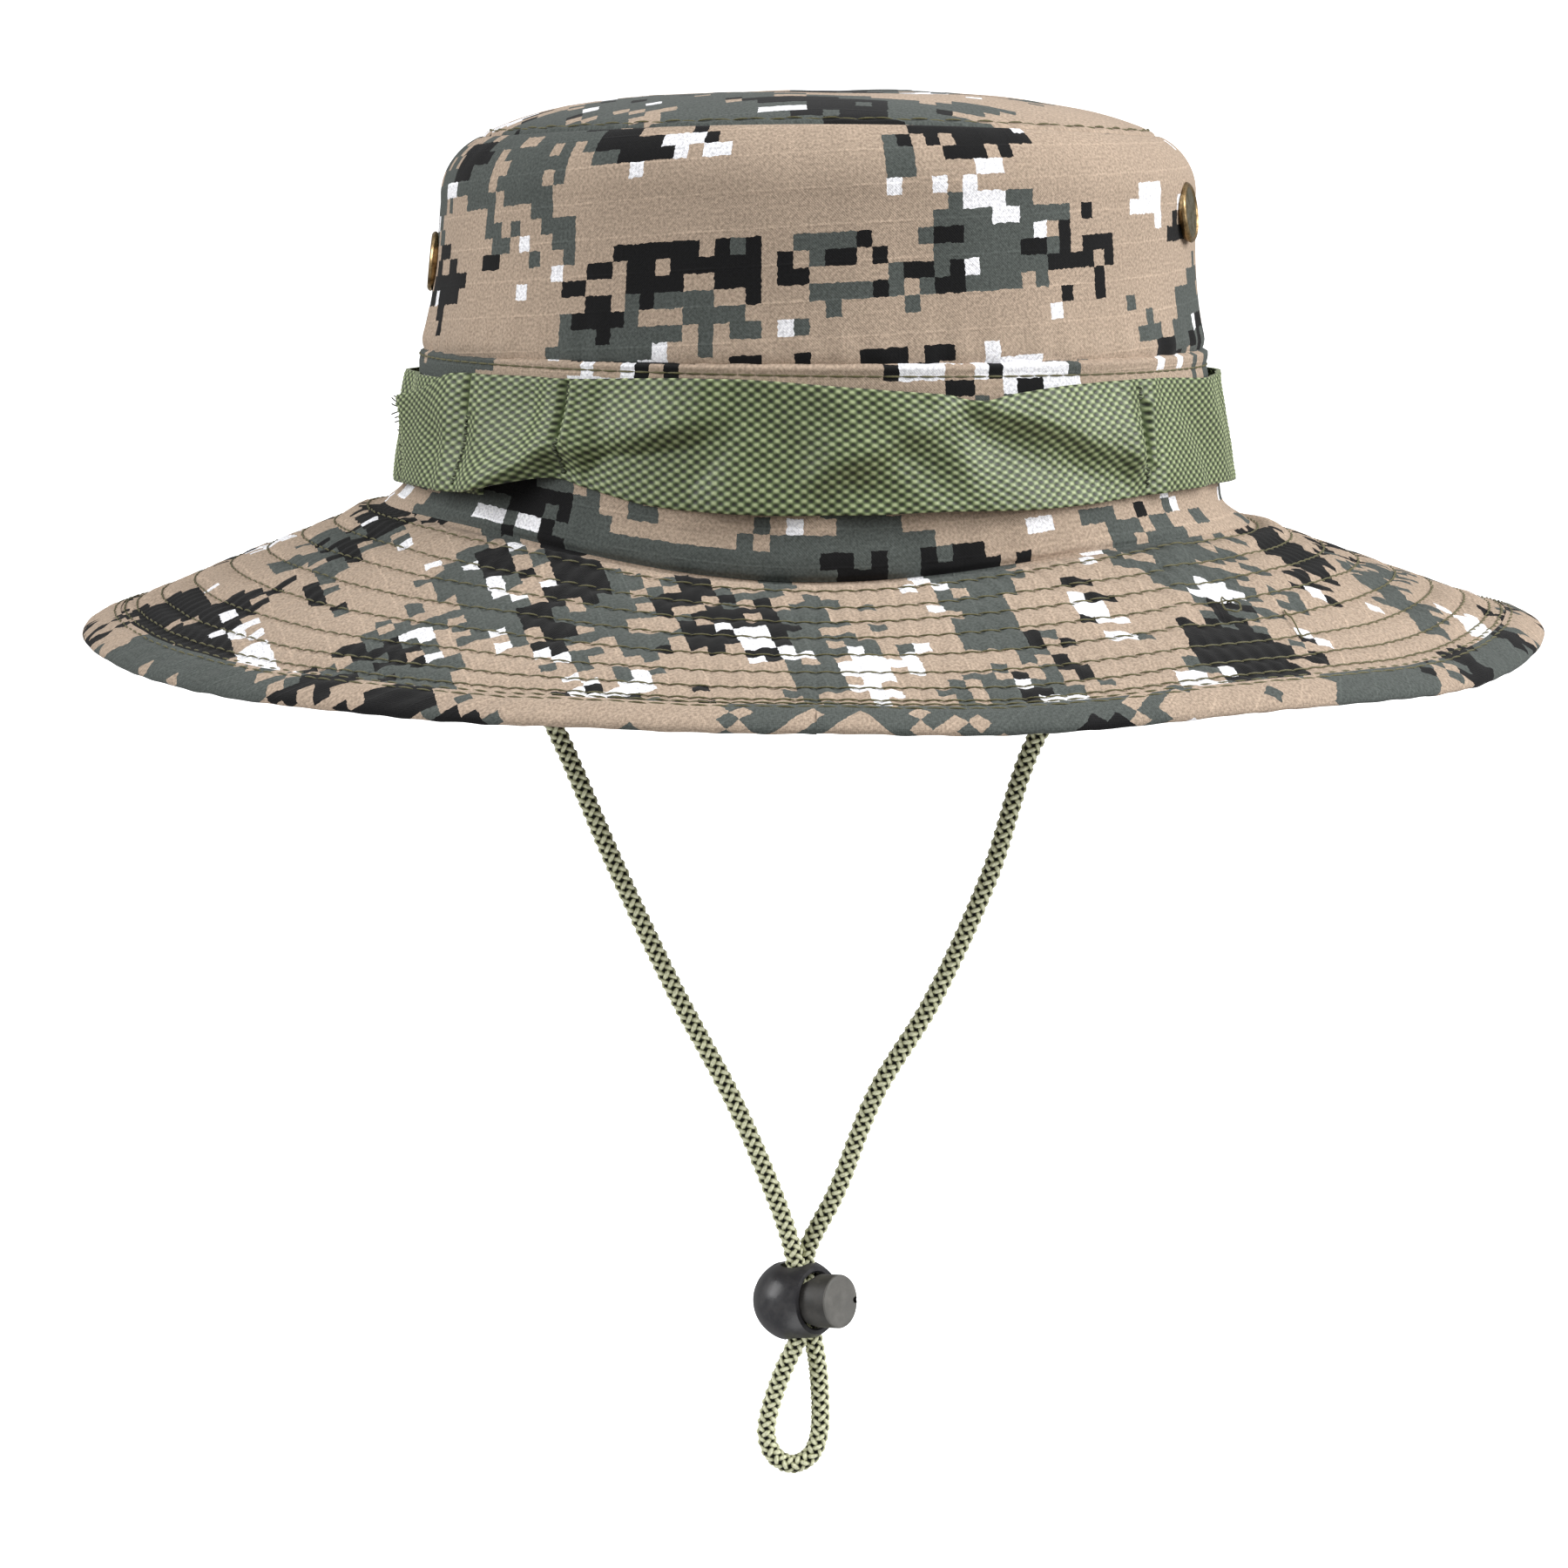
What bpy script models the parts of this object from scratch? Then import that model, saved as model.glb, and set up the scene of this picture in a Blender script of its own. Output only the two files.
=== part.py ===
"""Boonie hat: cloth crown, quilted brim whose two sides fold up, webbing band and chin cord.

Metres, +Z up. The front of the hat faces -Y. The origin is the centre of the head opening,
midway in height between the crown's seam with the brim at the front and at the two sides.
"""

import math

import bmesh
import bpy
from mathutils import Matrix, Vector

# Air between pieces that lie against each other
GAP = 0.0003
SOFT_GAP = 0.0006

# Crown: a lower band, a wall lapped over it and a domed tip
CROWN_CLOTH = 0.0012
BAND_BASE_RADIUS = 0.0955
BAND_TAPER = 0.0044
FOLD_Z = 0.0395
WALL_HEIGHT = 0.0355
WALL_TAPER = 0.0035
SHOULDER_TURN_DEG = 60.0
SHOULDER_INSET = 0.0093
SHOULDER_RISE = 0.0158
TIP_RISE = 0.0078
TIP_FLATNESS = 4.8
TIP_TUCK = 0.001
CROWN_RIM_WAVE = 0.0018

# Brim: two cloth plies over an interlining, bound at the edge
BRIM_RADIUS = 0.170
BRIM_TUCK = 0.0015
BRIM_DROP_SIDE = 0.0237
BRIM_DROP_FRONT = 0.0302
BRIM_SAG = 0.0025
SEAM_DIP = 0.0066
SEAM_RISE = 0.0044
SEAM_TILT = 0.0022
TOP_PLY = 0.0008
INTERLINING = 0.0012
UNDER_PLY = 0.0008
BINDING_WIDTH = 0.009
BINDING_CLOTH = 0.0008
FOLD_FROM_CROWN = 0.0085

# Sweatband inside the head opening
SWEATBAND_CLOTH = 0.0012
SWEATBAND_TOP_Z = 0.027
SWEATBAND_HANG = 0.006

# Webbing round the crown, lapped over itself and tacked down
WEBBING_HEIGHT = 0.025
WEBBING_LOW_Z = 0.0095
WEBBING_THICKNESS = 0.0014
WEBBING_STANDOFF = 0.0004
WEBBING_PUCKER = 0.0009
WEBBING_START_DEG = -140.0
WEBBING_LAP_DEG = 25.0
WEBBING_RISE_DEG = 12.0
BARTACK_DEG = (-39.0, 24.0, 87.0, 150.0, -144.0, -126.0)
BARTACK_WIDTH = 0.002
BARTACK_THICKNESS = 0.0007
BARTACK_INSET = 0.0008

# Brass snaps
SNAP_POST_RADIUS = 0.0018
SNAP_PLATE = 0.0012
CROWN_SNAP_RADIUS = 0.007
CROWN_SNAP_HEIGHT = 0.0018
CROWN_SNAP_RIM = 0.0016
CROWN_SNAP_RECESS = 0.0006
CROWN_BACK_RADIUS = 0.006
CROWN_SNAP_DEG = {"right": -16.0, "left": -178.0}
CROWN_SNAP_BELOW_SHOULDER = {"right": 0.0025, "left": 0.0145}
BRIM_SNAP_RADIUS = 0.0053
BRIM_SNAP_HEIGHT = 0.002
BRIM_SNAP_MOUTH = 0.0022
BRIM_CAP_RADIUS = 0.0055
BRIM_SNAP_FROM_EDGE = 0.0148
BRIM_SNAP_DEG = {"right": 19.0, "left": 156.0}

# Chin cord and the tapes that hold its ends
CORD_DIAMETER = 0.0045
CORD_POINT_STEP = 0.0105
TAB_WIDTH = 0.009
TAB_THICKNESS = 0.0016
TAB_TOP_Z = 0.009
TAB_BEND_Z = -0.005
TAB_REACH = 0.0089
TAB_DROP = 0.0085
STRAND_GAP = 0.0004
LEFT_LEG_ROUTE = (
    (-0.0710, 0.0000, -0.0310),
    (-0.0598, 0.0000, -0.0507),
    (-0.0467, 0.0000, -0.0812),
    (-0.0330, 0.0000, -0.1105),
    (-0.0190, -0.0006, -0.1370),
    (-0.0095, -0.0012, -0.1590),
)
RIGHT_LEG_ROUTE = (
    (0.0665, 0.0000, -0.0310),
    (0.0525, 0.0000, -0.0535),
    (0.0424, 0.0000, -0.0840),
    (0.0280, 0.0005, -0.1135),
    (0.0135, 0.0012, -0.1360),
    (0.0048, 0.0019, -0.1590),
)
LOOP_ROUTE = (
    (-0.0078, -0.0016, -0.2017),
    (-0.0105, -0.0010, -0.2107),
    (-0.0109, -0.0004, -0.2173),
    (-0.0086, 0.0000, -0.2230),
    (-0.0048, 0.0003, -0.2253),
    (-0.0010, 0.0006, -0.2234),
    (0.0010, 0.0010, -0.2187),
    (0.0018, 0.0014, -0.2107),
    (0.0012, 0.0018, -0.2017),
)

# Cord lock: a ball with a sprung plunger across it
LOCK_HOLE_PLACE = (-0.0022, 0.0, -0.1855)
LOCK_TURN_DEG = -38.5
LOCK_TILT_DEG = 5.0
LOCK_HALF_LENGTH = 0.0105
LOCK_HALF_HEIGHT = 0.0089
LOCK_HOLE_OFFSET = 0.002
LOCK_HOLE_CLEARANCE = 0.00035
LOCK_MOUTH = 0.0062
LOCK_HOLE_RUN = 0.011
PLUNGER_RADIUS = 0.00635
PLUNGER_FACE = 0.0134
PLUNGER_TRAVEL = 0.0032
PLUNGER_HEEL = 0.0016
PLUNGER_BEVEL = 0.0005
SPRING_POCKET_RADIUS = 0.0042
SPRING_POCKET_DEPTH = 0.0026
SPRING_RADIUS = 0.0033
SPRING_WIRE = 0.0006
SPRING_TURNS = 4

# Facets
HALF_STEPS = 26
SIDE_STEPS = 8
FRONT_STEPS = 12
FLAP_STEPS = 16
BRIM_RINGS = 4
WEBBING_STEP_DEG = 5.5
TURNED_STEPS = 20
CURL_POINTS = 10

SAG_PEAK = 27 / 4  # makes the sag's curve 1 at its lowest
BAND_TOP_RADIUS = BAND_BASE_RADIUS - BAND_TAPER
SHOULDER_RADIUS = BAND_TOP_RADIUS - WALL_TAPER
SHOULDER_Z = FOLD_Z + WALL_HEIGHT
TIP_RADIUS = SHOULDER_RADIUS - SHOULDER_INSET
TIP_EDGE_Z = SHOULDER_Z + SHOULDER_RISE
TIP_TOP_Z = TIP_EDGE_Z + TIP_RISE
FOLD_X = BAND_BASE_RADIUS + FOLD_FROM_CROWN
BRIM_INNER_RADIUS = BAND_BASE_RADIUS - BRIM_TUCK
PLY_RADIUS = BRIM_RADIUS - BINDING_CLOTH - 2 * SOFT_GAP
STACK = TOP_PLY + GAP + INTERLINING + GAP + UNDER_PLY
CORD_RADIUS = CORD_DIAMETER / 2
STRAND_OFFSET = CORD_RADIUS + STRAND_GAP / 2
LOCK_HOLE_HALF = CORD_RADIUS + LOCK_HOLE_CLEARANCE

for old in list(bpy.data.objects):
    bpy.data.objects.remove(old, do_unlink=True)


def material(name, colour, roughness, metallic=0.0):
    made = bpy.data.materials.new(name)
    made.use_nodes = True
    shader = made.node_tree.nodes["Principled BSDF"]
    shader.inputs["Base Color"].default_value = (*colour, 1.0)
    shader.inputs["Roughness"].default_value = roughness
    shader.inputs["Metallic"].default_value = metallic
    made.diffuse_color = (*colour, 1.0)
    return made


CAMO_CLOTH = material("camo_cloth", (0.36, 0.29, 0.22), 0.85)
BINDING_TAPE = material("binding_cloth", (0.30, 0.25, 0.20), 0.85)
STIFFENER = material("interlining", (0.62, 0.60, 0.55), 0.9)
SWEAT_CLOTH = material("sweatband_cloth", (0.24, 0.22, 0.17), 0.85)
WEBBING_TAPE = material("webbing", (0.11, 0.15, 0.055), 0.75)
THREAD = material("thread", (0.10, 0.10, 0.045), 0.7)
BRASS = material("brass", (0.56, 0.41, 0.19), 0.35, 1.0)
CORD = material("cord", (0.24, 0.25, 0.15), 0.8)
PLASTIC = material("lock_plastic", (0.035, 0.036, 0.038), 0.45)
STEEL = material("spring_steel", (0.55, 0.55, 0.56), 0.3, 1.0)


def empty(name, place, parent=None):
    made = bpy.data.objects.new(name, None)
    made.empty_display_size = 0.01
    bpy.context.collection.objects.link(made)
    made.parent = parent
    made.location = Vector(place) - (parent.matrix_world.translation if parent else Vector())
    bpy.context.view_layer.update()
    return made


def finish(name, shape, surface, axis=None):
    """Link a mesh or curve modelled in world space, with its origin on its joint's axis."""
    made = bpy.data.objects.new(name, shape)
    made.data.materials.append(surface)
    bpy.context.collection.objects.link(made)
    if axis:
        shape.transform(Matrix.Translation(-axis.matrix_world.translation))
        made.parent = axis
    return made


def mesh_object(name, form, surface, axis=None, sharp_deg=35.0):
    bmesh.ops.recalc_face_normals(form, faces=form.faces)
    mesh = bpy.data.meshes.new(name)
    form.to_mesh(mesh)
    form.free()
    mesh.shade_smooth()
    mesh.set_sharp_from_angle(angle=math.radians(sharp_deg))
    return finish(name, mesh, surface, axis)


def loft(name, sections, surface, axis=None, closed=False):
    """A solid skinned over closed sections, capped at its ends unless it runs full circle."""
    form = bmesh.new()
    rings = [[form.verts.new(point) for point in section] for section in sections]
    pairs = list(zip(rings, rings[1:]))
    if closed:
        pairs.append((rings[-1], rings[0]))
    count = len(rings[0])
    for first, second in pairs:
        for i in range(count):
            j = (i + 1) % count
            form.faces.new((first[i], first[j], second[j], second[i]))
    if not closed:
        form.faces.new(reversed(rings[0]))
        form.faces.new(rings[-1])
    return mesh_object(name, form, surface, axis)


def turned(name, profile, frame, surface, axis=None):
    """A turned solid: the profile runs from axis to axis as (radius, height) in the frame."""
    form = bmesh.new()
    points = [form.verts.new((radius, 0.0, height)) for radius, height in profile]
    edges = [form.edges.new(pair) for pair in zip(points, points[1:])]
    bmesh.ops.spin(
        form, geom=points + edges, cent=(0, 0, 0), axis=(0, 0, 1), dvec=(0, 0, 0),
        angle=math.tau, steps=TURNED_STEPS, use_merge=True, use_duplicate=False,
    )
    bmesh.ops.remove_doubles(form, verts=form.verts, dist=1e-6)
    bmesh.ops.transform(form, matrix=frame, verts=form.verts)
    return mesh_object(name, form, surface, axis)


def cutter(made):
    made.hide_render = True
    made.display_type = "WIRE"
    return made


def cut(target, tool):
    step = target.modifiers.new("cut_" + tool.name, "BOOLEAN")
    step.operation = "DIFFERENCE"
    step.solver = "EXACT"
    step.object = tool


def polar(radius, angle, z):
    return Vector((radius * math.cos(angle), radius * math.sin(angle), z))


def steps(start, stop, count):
    return [start + (stop - start) * i / count for i in range(count + 1)]


def frame_on(place, normal):
    """Axes at a place on a surface, with Z along its normal."""
    turn = Vector((0, 0, 1)).rotation_difference(normal).to_matrix().to_4x4()
    return Matrix.Translation(place) @ turn


# Shapes that several pieces follow


def brim_z(radius, angle):
    """Height of the brim's upper face, straight from its seam with the crown to its edge."""
    out = (radius - BAND_BASE_RADIUS) / (BRIM_RADIUS - BAND_BASE_RADIUS)
    across, along = math.cos(angle) ** 2, math.sin(angle) ** 2
    side = SEAM_RISE - SEAM_TILT * math.cos(angle)
    seam = side + (-SEAM_DIP - side) * along**2
    edge = -BRIM_DROP_SIDE * across - BRIM_DROP_FRONT * along - BRIM_SAG * SAG_PEAK * across**2 * along
    return seam + (edge - seam) * out


def band_radius(z):
    """Outer radius of the crown's lower band."""
    return BAND_BASE_RADIUS + (BAND_TOP_RADIUS - BAND_BASE_RADIUS) * z / FOLD_Z


def rim_lift(z, angle):
    """The crown's rim rides higher at front and back than at the sides."""
    share = max(0.0, (z - FOLD_Z) / (TIP_EDGE_Z - FOLD_Z))
    return -CROWN_RIM_WAVE * share * math.cos(2 * angle)


def tip_z(share):
    """Height of the crown tip's upper face at this share of its radius, before the rim's wave."""
    return TIP_TOP_Z - (TIP_TOP_Z - TIP_EDGE_Z) * share**TIP_FLATNESS


def wall_profile():
    """Outer line of the crown wall, bottom to top, as (radius, z)."""
    low_z = FOLD_Z + GAP
    line = [
        (BAND_TOP_RADIUS + (SHOULDER_RADIUS - BAND_TOP_RADIUS) * t, low_z + (SHOULDER_Z - low_z) * t)
        for t in (0.0, 0.5, 1.0)
    ]
    rim = TIP_RADIUS - TIP_TUCK
    rise = tip_z(rim / TIP_RADIUS) - CROWN_CLOTH - GAP - SHOULDER_Z
    last = math.radians(SHOULDER_TURN_DEG)
    for turn in steps(0.0, last, 4)[1:]:
        inward = (1 - math.cos(turn)) / (1 - math.cos(last))
        upward = math.sin(turn) / math.sin(last)
        line.append((SHOULDER_RADIUS + (rim - SHOULDER_RADIUS) * inward, SHOULDER_Z + rise * upward))
    return line


def inset(line, depth):
    """The line moved inwards by depth, square to itself."""
    moved = []
    for i, (radius, z) in enumerate(line):
        before, after = line[max(i - 1, 0)], line[min(i + 1, len(line) - 1)]
        across, up = after[0] - before[0], after[1] - before[1]
        long = math.hypot(across, up)
        moved.append((radius - depth * up / long, z + depth * across / long))
    return moved


def half_angles(front):
    """Angles of one half of the crown, just short of the side seams."""
    margin = GAP / BAND_BASE_RADIUS
    start = -math.pi if front else 0.0
    return steps(start + margin, start + math.pi - margin, HALF_STEPS)


# Crown


def crown_halves():
    outer = wall_profile()
    inner = inset(outer, CROWN_CLOTH)
    line = outer + inner[::-1]
    walls = {}
    for side in ("front", "back"):
        angles = half_angles(side == "front")
        sections = [[polar(r, a, z + rim_lift(z, a)) for r, z in line] for a in angles]
        walls[side] = loft("crown_wall_" + side, sections, CAMO_CLOTH)
        sections = []
        for a in angles:
            low = band_radius(brim_z(BAND_BASE_RADIUS, a))
            foot = [(r, brim_z(r, a) + GAP) for r in (low - CROWN_CLOTH, low)]
            shape = (*foot, (BAND_TOP_RADIUS, FOLD_Z), (BAND_TOP_RADIUS - CROWN_CLOTH, FOLD_Z))
            sections.append([polar(r, a, z) for r, z in shape])
        loft("crown_band_" + side, sections, CAMO_CLOTH)
    return walls


def crown_tip():
    angles = [math.tau * i / (2 * HALF_STEPS) for i in range(2 * HALF_STEPS)]
    shares = (0.35, 0.6, 0.78, 0.9, 1.0)
    form = bmesh.new()
    faces = {}
    for level in (0.0, -CROWN_CLOTH):
        rows = []
        for share in shares:
            dome = tip_z(share)
            heights = [dome + level + share**2 * rim_lift(dome, a) for a in angles]
            row = [polar(TIP_RADIUS * share, a, z) for a, z in zip(angles, heights)]
            rows.append([form.verts.new(point) for point in row])
        form.faces.new(rows[0])
        for near, far in zip(rows, rows[1:]):
            for i in range(len(angles)):
                j = (i + 1) % len(angles)
                form.faces.new((near[i], near[j], far[j], far[i]))
        faces[level] = rows[-1]
    top, under = faces[0.0], faces[-CROWN_CLOTH]
    for i in range(len(angles)):
        j = (i + 1) % len(angles)
        form.faces.new((top[i], top[j], under[j], under[i]))
    mesh_object("crown_tip", form, CAMO_CLOTH)


def sweatband_radius(z):
    """Outer radius of the sweatband: inside the brim's edge below, inside the band above."""
    return min(BRIM_INNER_RADIUS - GAP, band_radius(z) - CROWN_CLOTH - SOFT_GAP)


def sweatband():
    knee_z = (BAND_BASE_RADIUS - CROWN_CLOTH - SOFT_GAP - BRIM_INNER_RADIUS + GAP) * FOLD_Z
    knee_z /= BAND_BASE_RADIUS - BAND_TOP_RADIUS
    sections = []
    for a in (math.tau * i / (2 * HALF_STEPS) for i in range(2 * HALF_STEPS)):
        low_z = brim_z(BRIM_INNER_RADIUS, a) - SWEATBAND_HANG
        levels = (low_z, max(knee_z, low_z + SWEATBAND_CLOTH), SWEATBAND_TOP_Z)
        section = [polar(sweatband_radius(z), a, z) for z in levels]
        section += [polar(sweatband_radius(z) - SWEATBAND_CLOTH, a, z) for z in reversed(levels)]
        sections.append(section)
    loft("sweatband", sections, SWEAT_CLOTH, closed=True)


# Brim


def brim_layers():
    """Each layer of the brim with its upper and lower face, measured down from the top."""
    under = STACK - UNDER_PLY
    core = TOP_PLY + GAP
    return {
        "brim_top_ply": (0.0, TOP_PLY, CAMO_CLOTH),
        "brim_interlining": (core, core + INTERLINING, STIFFENER),
        "brim_under_ply": (under, STACK, CAMO_CLOTH),
    }


def brim_section(inner, outer, angle, layer, y=None):
    top, low, _ = layer
    radii = steps(inner, outer, BRIM_RINGS)
    points = [polar(r, angle, brim_z(r, angle) - top) for r in radii]
    points += [polar(r, angle, brim_z(r, angle) - low) for r in reversed(radii)]
    if y is not None:
        for point in points:
            point.y = y
    return points


def brim_half(side, name, layer):
    """The fixed front or back of one layer, between the two fold lines."""
    sign = -1 if side == "front" else 1
    edge = FOLD_X - GAP
    corner = math.acos(edge / PLY_RADIUS)
    angles = steps(0.0, corner, SIDE_STEPS)
    angles += steps(corner, math.pi - corner, FRONT_STEPS)[1:]
    angles += steps(math.pi - corner, math.pi, SIDE_STEPS)[1:]
    sections = []
    for i, a in enumerate(angles):
        past = min(a, math.pi - a) < corner - 1e-9
        outer = edge / abs(math.cos(a)) if past else PLY_RADIUS
        seam = sign * GAP / 2 if i in (0, len(angles) - 1) else None
        sections.append(brim_section(BRIM_INNER_RADIUS, outer, sign * a, layer, seam))
    return loft(f"{name}_{side}", sections, layer[2])


def brim_flap(side, name, layer, axis):
    """One side of a layer, outside its fold line."""
    facing = 0.0 if side == "right" else math.pi
    tip = math.acos(FOLD_X / (PLY_RADIUS - BINDING_CLOTH))
    sections = []
    for a in steps(-tip, tip, FLAP_STEPS):
        sections.append(brim_section(FOLD_X / math.cos(a), PLY_RADIUS, facing + a, layer))
    return loft(f"{name}_{side}_flap", sections, layer[2], axis)


def binding_line():
    """Section of the edge binding: (radius, depth below the brim's upper face)."""
    inside = BRIM_RADIUS - BINDING_WIDTH
    wall = BRIM_RADIUS - BINDING_CLOTH
    over, under = -GAP - BINDING_CLOTH, STACK + GAP + BINDING_CLOTH
    middle = STACK / 2
    corner = 2 * BINDING_CLOTH
    return (
        (inside, over), (BRIM_RADIUS - corner, over), (BRIM_RADIUS, middle - corner / 2),
        (BRIM_RADIUS, middle + corner / 2), (BRIM_RADIUS - corner, under), (inside, under),
        (inside, under - BINDING_CLOTH), (wall, under - BINDING_CLOTH), (wall, over + BINDING_CLOTH),
        (inside, over + BINDING_CLOTH),
    )


def binding(name, facing, edge, count, axis=None):
    """A length of binding whose two ends are cut square to the fold line."""
    sections = []
    for u in steps(-1.0, 1.0, count):
        section = []
        for radius, depth in binding_line():
            reach = math.acos(edge / radius) if edge > 0 else math.asin(-edge / radius)
            angle = facing + u * reach
            section.append(polar(radius, angle, brim_z(radius, angle) - depth))
        sections.append(section)
    return loft(name, sections, BINDING_TAPE, axis)


def brim(axes):
    flaps = {"left": [], "right": []}
    for name, layer in brim_layers().items():
        for side in ("front", "back"):
            brim_half(side, name, layer)
        for side in flaps:
            flaps[side].append(brim_flap(side, name, layer, axes[side]))
    binding("brim_binding_front", -math.pi / 2, GAP - FOLD_X, FRONT_STEPS)
    binding("brim_binding_back", math.pi / 2, GAP - FOLD_X, FRONT_STEPS)
    binding("brim_binding_right_flap", 0.0, FOLD_X, FLAP_STEPS, axes["right"])
    binding("brim_binding_left_flap", math.pi, FOLD_X, FLAP_STEPS, axes["left"])
    return flaps


# Webbing


def pucker(angle_deg):
    """How far the webbing bows out between one tack and the next."""
    tacks = sorted(deg % 360 for deg in BARTACK_DEG)
    angle_deg %= 360
    after = next((deg for deg in tacks if deg >= angle_deg), tacks[0] + 360)
    before = max((deg for deg in tacks if deg <= angle_deg), default=tacks[-1] - 360)
    if after <= before:
        return 0.0
    return WEBBING_PUCKER * math.sin(math.pi * (angle_deg - before) / (after - before)) ** 2


def lap_lift(turned_deg):
    """The last stretch of webbing climbs over the first."""
    rise = (turned_deg - 360 + WEBBING_RISE_DEG) / WEBBING_RISE_DEG
    rise = min(1.0, max(0.0, rise))
    return (WEBBING_THICKNESS + WEBBING_STANDOFF) * rise * rise * (3 - 2 * rise)


def webbing_face(turned_deg, z):
    """Inner radius of the webbing after turning this far from its start."""
    share = (WEBBING_LOW_Z + WEBBING_HEIGHT - z) / WEBBING_HEIGHT
    bow = pucker(WEBBING_START_DEG - turned_deg) * (0.5 + 0.5 * share)
    return band_radius(z) + WEBBING_STANDOFF + bow + lap_lift(turned_deg)


def webbing():
    total = 360.0 + WEBBING_LAP_DEG
    levels = steps(WEBBING_LOW_Z, WEBBING_LOW_Z + WEBBING_HEIGHT, 2)
    sections = []
    for turned_deg in steps(0.0, total, round(total / WEBBING_STEP_DEG)):
        a = math.radians(WEBBING_START_DEG - turned_deg)
        section = [polar(webbing_face(turned_deg, z), a, z) for z in levels]
        section += [polar(webbing_face(turned_deg, z) + WEBBING_THICKNESS, a, z) for z in reversed(levels)]
        sections.append(section)
    loft("webbing_band", sections, WEBBING_TAPE)
    for i, deg in enumerate(BARTACK_DEG):
        bartack(f"bartack_{i + 1}", deg)


def bartack(name, deg):
    """A bar of dense stitching that holds the webbing to the crown."""
    turned_deg = (WEBBING_START_DEG - deg) % 360
    if turned_deg < WEBBING_LAP_DEG:
        turned_deg += 360
    low_z, top_z = WEBBING_LOW_Z + BARTACK_INSET, WEBBING_LOW_Z + WEBBING_HEIGHT - BARTACK_INSET
    a = math.radians(deg)
    along = Vector((-math.sin(a), math.cos(a), 0.0)) * BARTACK_WIDTH / 2
    sections = []
    for z in (low_z, top_z):
        near = webbing_face(turned_deg, z) + WEBBING_THICKNESS + GAP
        face, back = polar(near + BARTACK_THICKNESS, a, z), polar(near, a, z)
        sections.append([back - along, back + along, face + along, face - along])
    loft(name, sections, THREAD)


# Snaps


def crown_snaps(walls):
    """A recessed brass snap on each side of the crown, with its backing plate inside."""
    line = wall_profile()
    for side, deg in CROWN_SNAP_DEG.items():
        z = SHOULDER_Z - CROWN_SNAP_BELOW_SHOULDER[side]
        low, high = next(pair for pair in zip(line, line[1:]) if pair[0][1] <= z <= pair[1][1])
        share = (z - low[1]) / (high[1] - low[1])
        a = math.radians(deg)
        slope = math.atan2(low[0] - high[0], high[1] - low[1])
        normal = polar(math.cos(slope), a, math.sin(slope))
        place = polar(low[0] + (high[0] - low[0]) * share, a, z + rim_lift(z, a))
        frame = frame_on(place, normal)
        post_end = -CROWN_CLOTH
        face = GAP + CROWN_SNAP_HEIGHT
        turned("crown_snap_" + side, (
            (0.0, post_end), (SNAP_POST_RADIUS, post_end), (SNAP_POST_RADIUS, GAP),
            (CROWN_SNAP_RADIUS, GAP), (CROWN_SNAP_RADIUS, face - CROWN_SNAP_RIM / 4),
            (CROWN_SNAP_RADIUS - CROWN_SNAP_RIM / 2, face), (CROWN_SNAP_RADIUS - CROWN_SNAP_RIM, face),
            (CROWN_SNAP_RADIUS - CROWN_SNAP_RIM, face - CROWN_SNAP_RECESS), (0.0, face - CROWN_SNAP_RECESS),
        ), frame, BRASS)
        plate = post_end - SOFT_GAP
        turned("crown_snap_back_" + side, (
            (0.0, plate), (CROWN_BACK_RADIUS, plate), (CROWN_BACK_RADIUS, plate - SNAP_PLATE / 2),
            (CROWN_BACK_RADIUS - SNAP_PLATE / 2, plate - SNAP_PLATE), (0.0, plate - SNAP_PLATE),
        ), frame, BRASS)
        cut(walls["front"], post_hole("crown_hole_" + side, frame, CROWN_CLOTH))


def post_hole(name, frame, depth):
    radius = SNAP_POST_RADIUS + GAP
    top, low = depth, -2 * depth
    return cutter(turned(name, ((0.0, top), (radius, top), (radius, low), (0.0, low)), frame, BRASS))


def brim_snaps(flaps, axes):
    """A brass socket on each folding side of the brim, with its cap underneath."""
    for side, deg in BRIM_SNAP_DEG.items():
        a = math.radians(deg)
        r = BRIM_RADIUS - BRIM_SNAP_FROM_EDGE
        place = polar(r, a, brim_z(r, a))
        nudge = SNAP_POST_RADIUS / r
        out = polar(r + SNAP_POST_RADIUS, a, brim_z(r + SNAP_POST_RADIUS, a)) - place
        round_it = polar(r, a + nudge, brim_z(r, a + nudge)) - place
        frame = frame_on(place, out.cross(round_it).normalized())
        face = GAP + BRIM_SNAP_HEIGHT
        floor = GAP + SNAP_PLATE / 2
        turned("brim_snap_socket_" + side, (
            (0.0, -STACK), (SNAP_POST_RADIUS, -STACK), (SNAP_POST_RADIUS, GAP), (BRIM_SNAP_RADIUS, GAP),
            (BRIM_SNAP_RADIUS, floor), ((BRIM_SNAP_RADIUS + BRIM_SNAP_MOUTH) / 2, face),
            (BRIM_SNAP_MOUTH, face), (BRIM_SNAP_MOUTH, floor), (0.0, floor),
        ), frame, BRASS, axes[side])
        plate = -STACK - GAP
        turned("brim_snap_cap_" + side, (
            (0.0, plate), (BRIM_CAP_RADIUS, plate), (BRIM_CAP_RADIUS, plate - SNAP_PLATE / 2),
            (BRIM_CAP_RADIUS - SNAP_PLATE, plate - SNAP_PLATE), (0.0, plate - SNAP_PLATE),
        ), frame, BRASS, axes[side])
        hole = post_hole("brim_hole_" + side, frame, STACK)
        for ply in flaps[side]:
            cut(ply, hole)


# Chin cord


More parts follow.
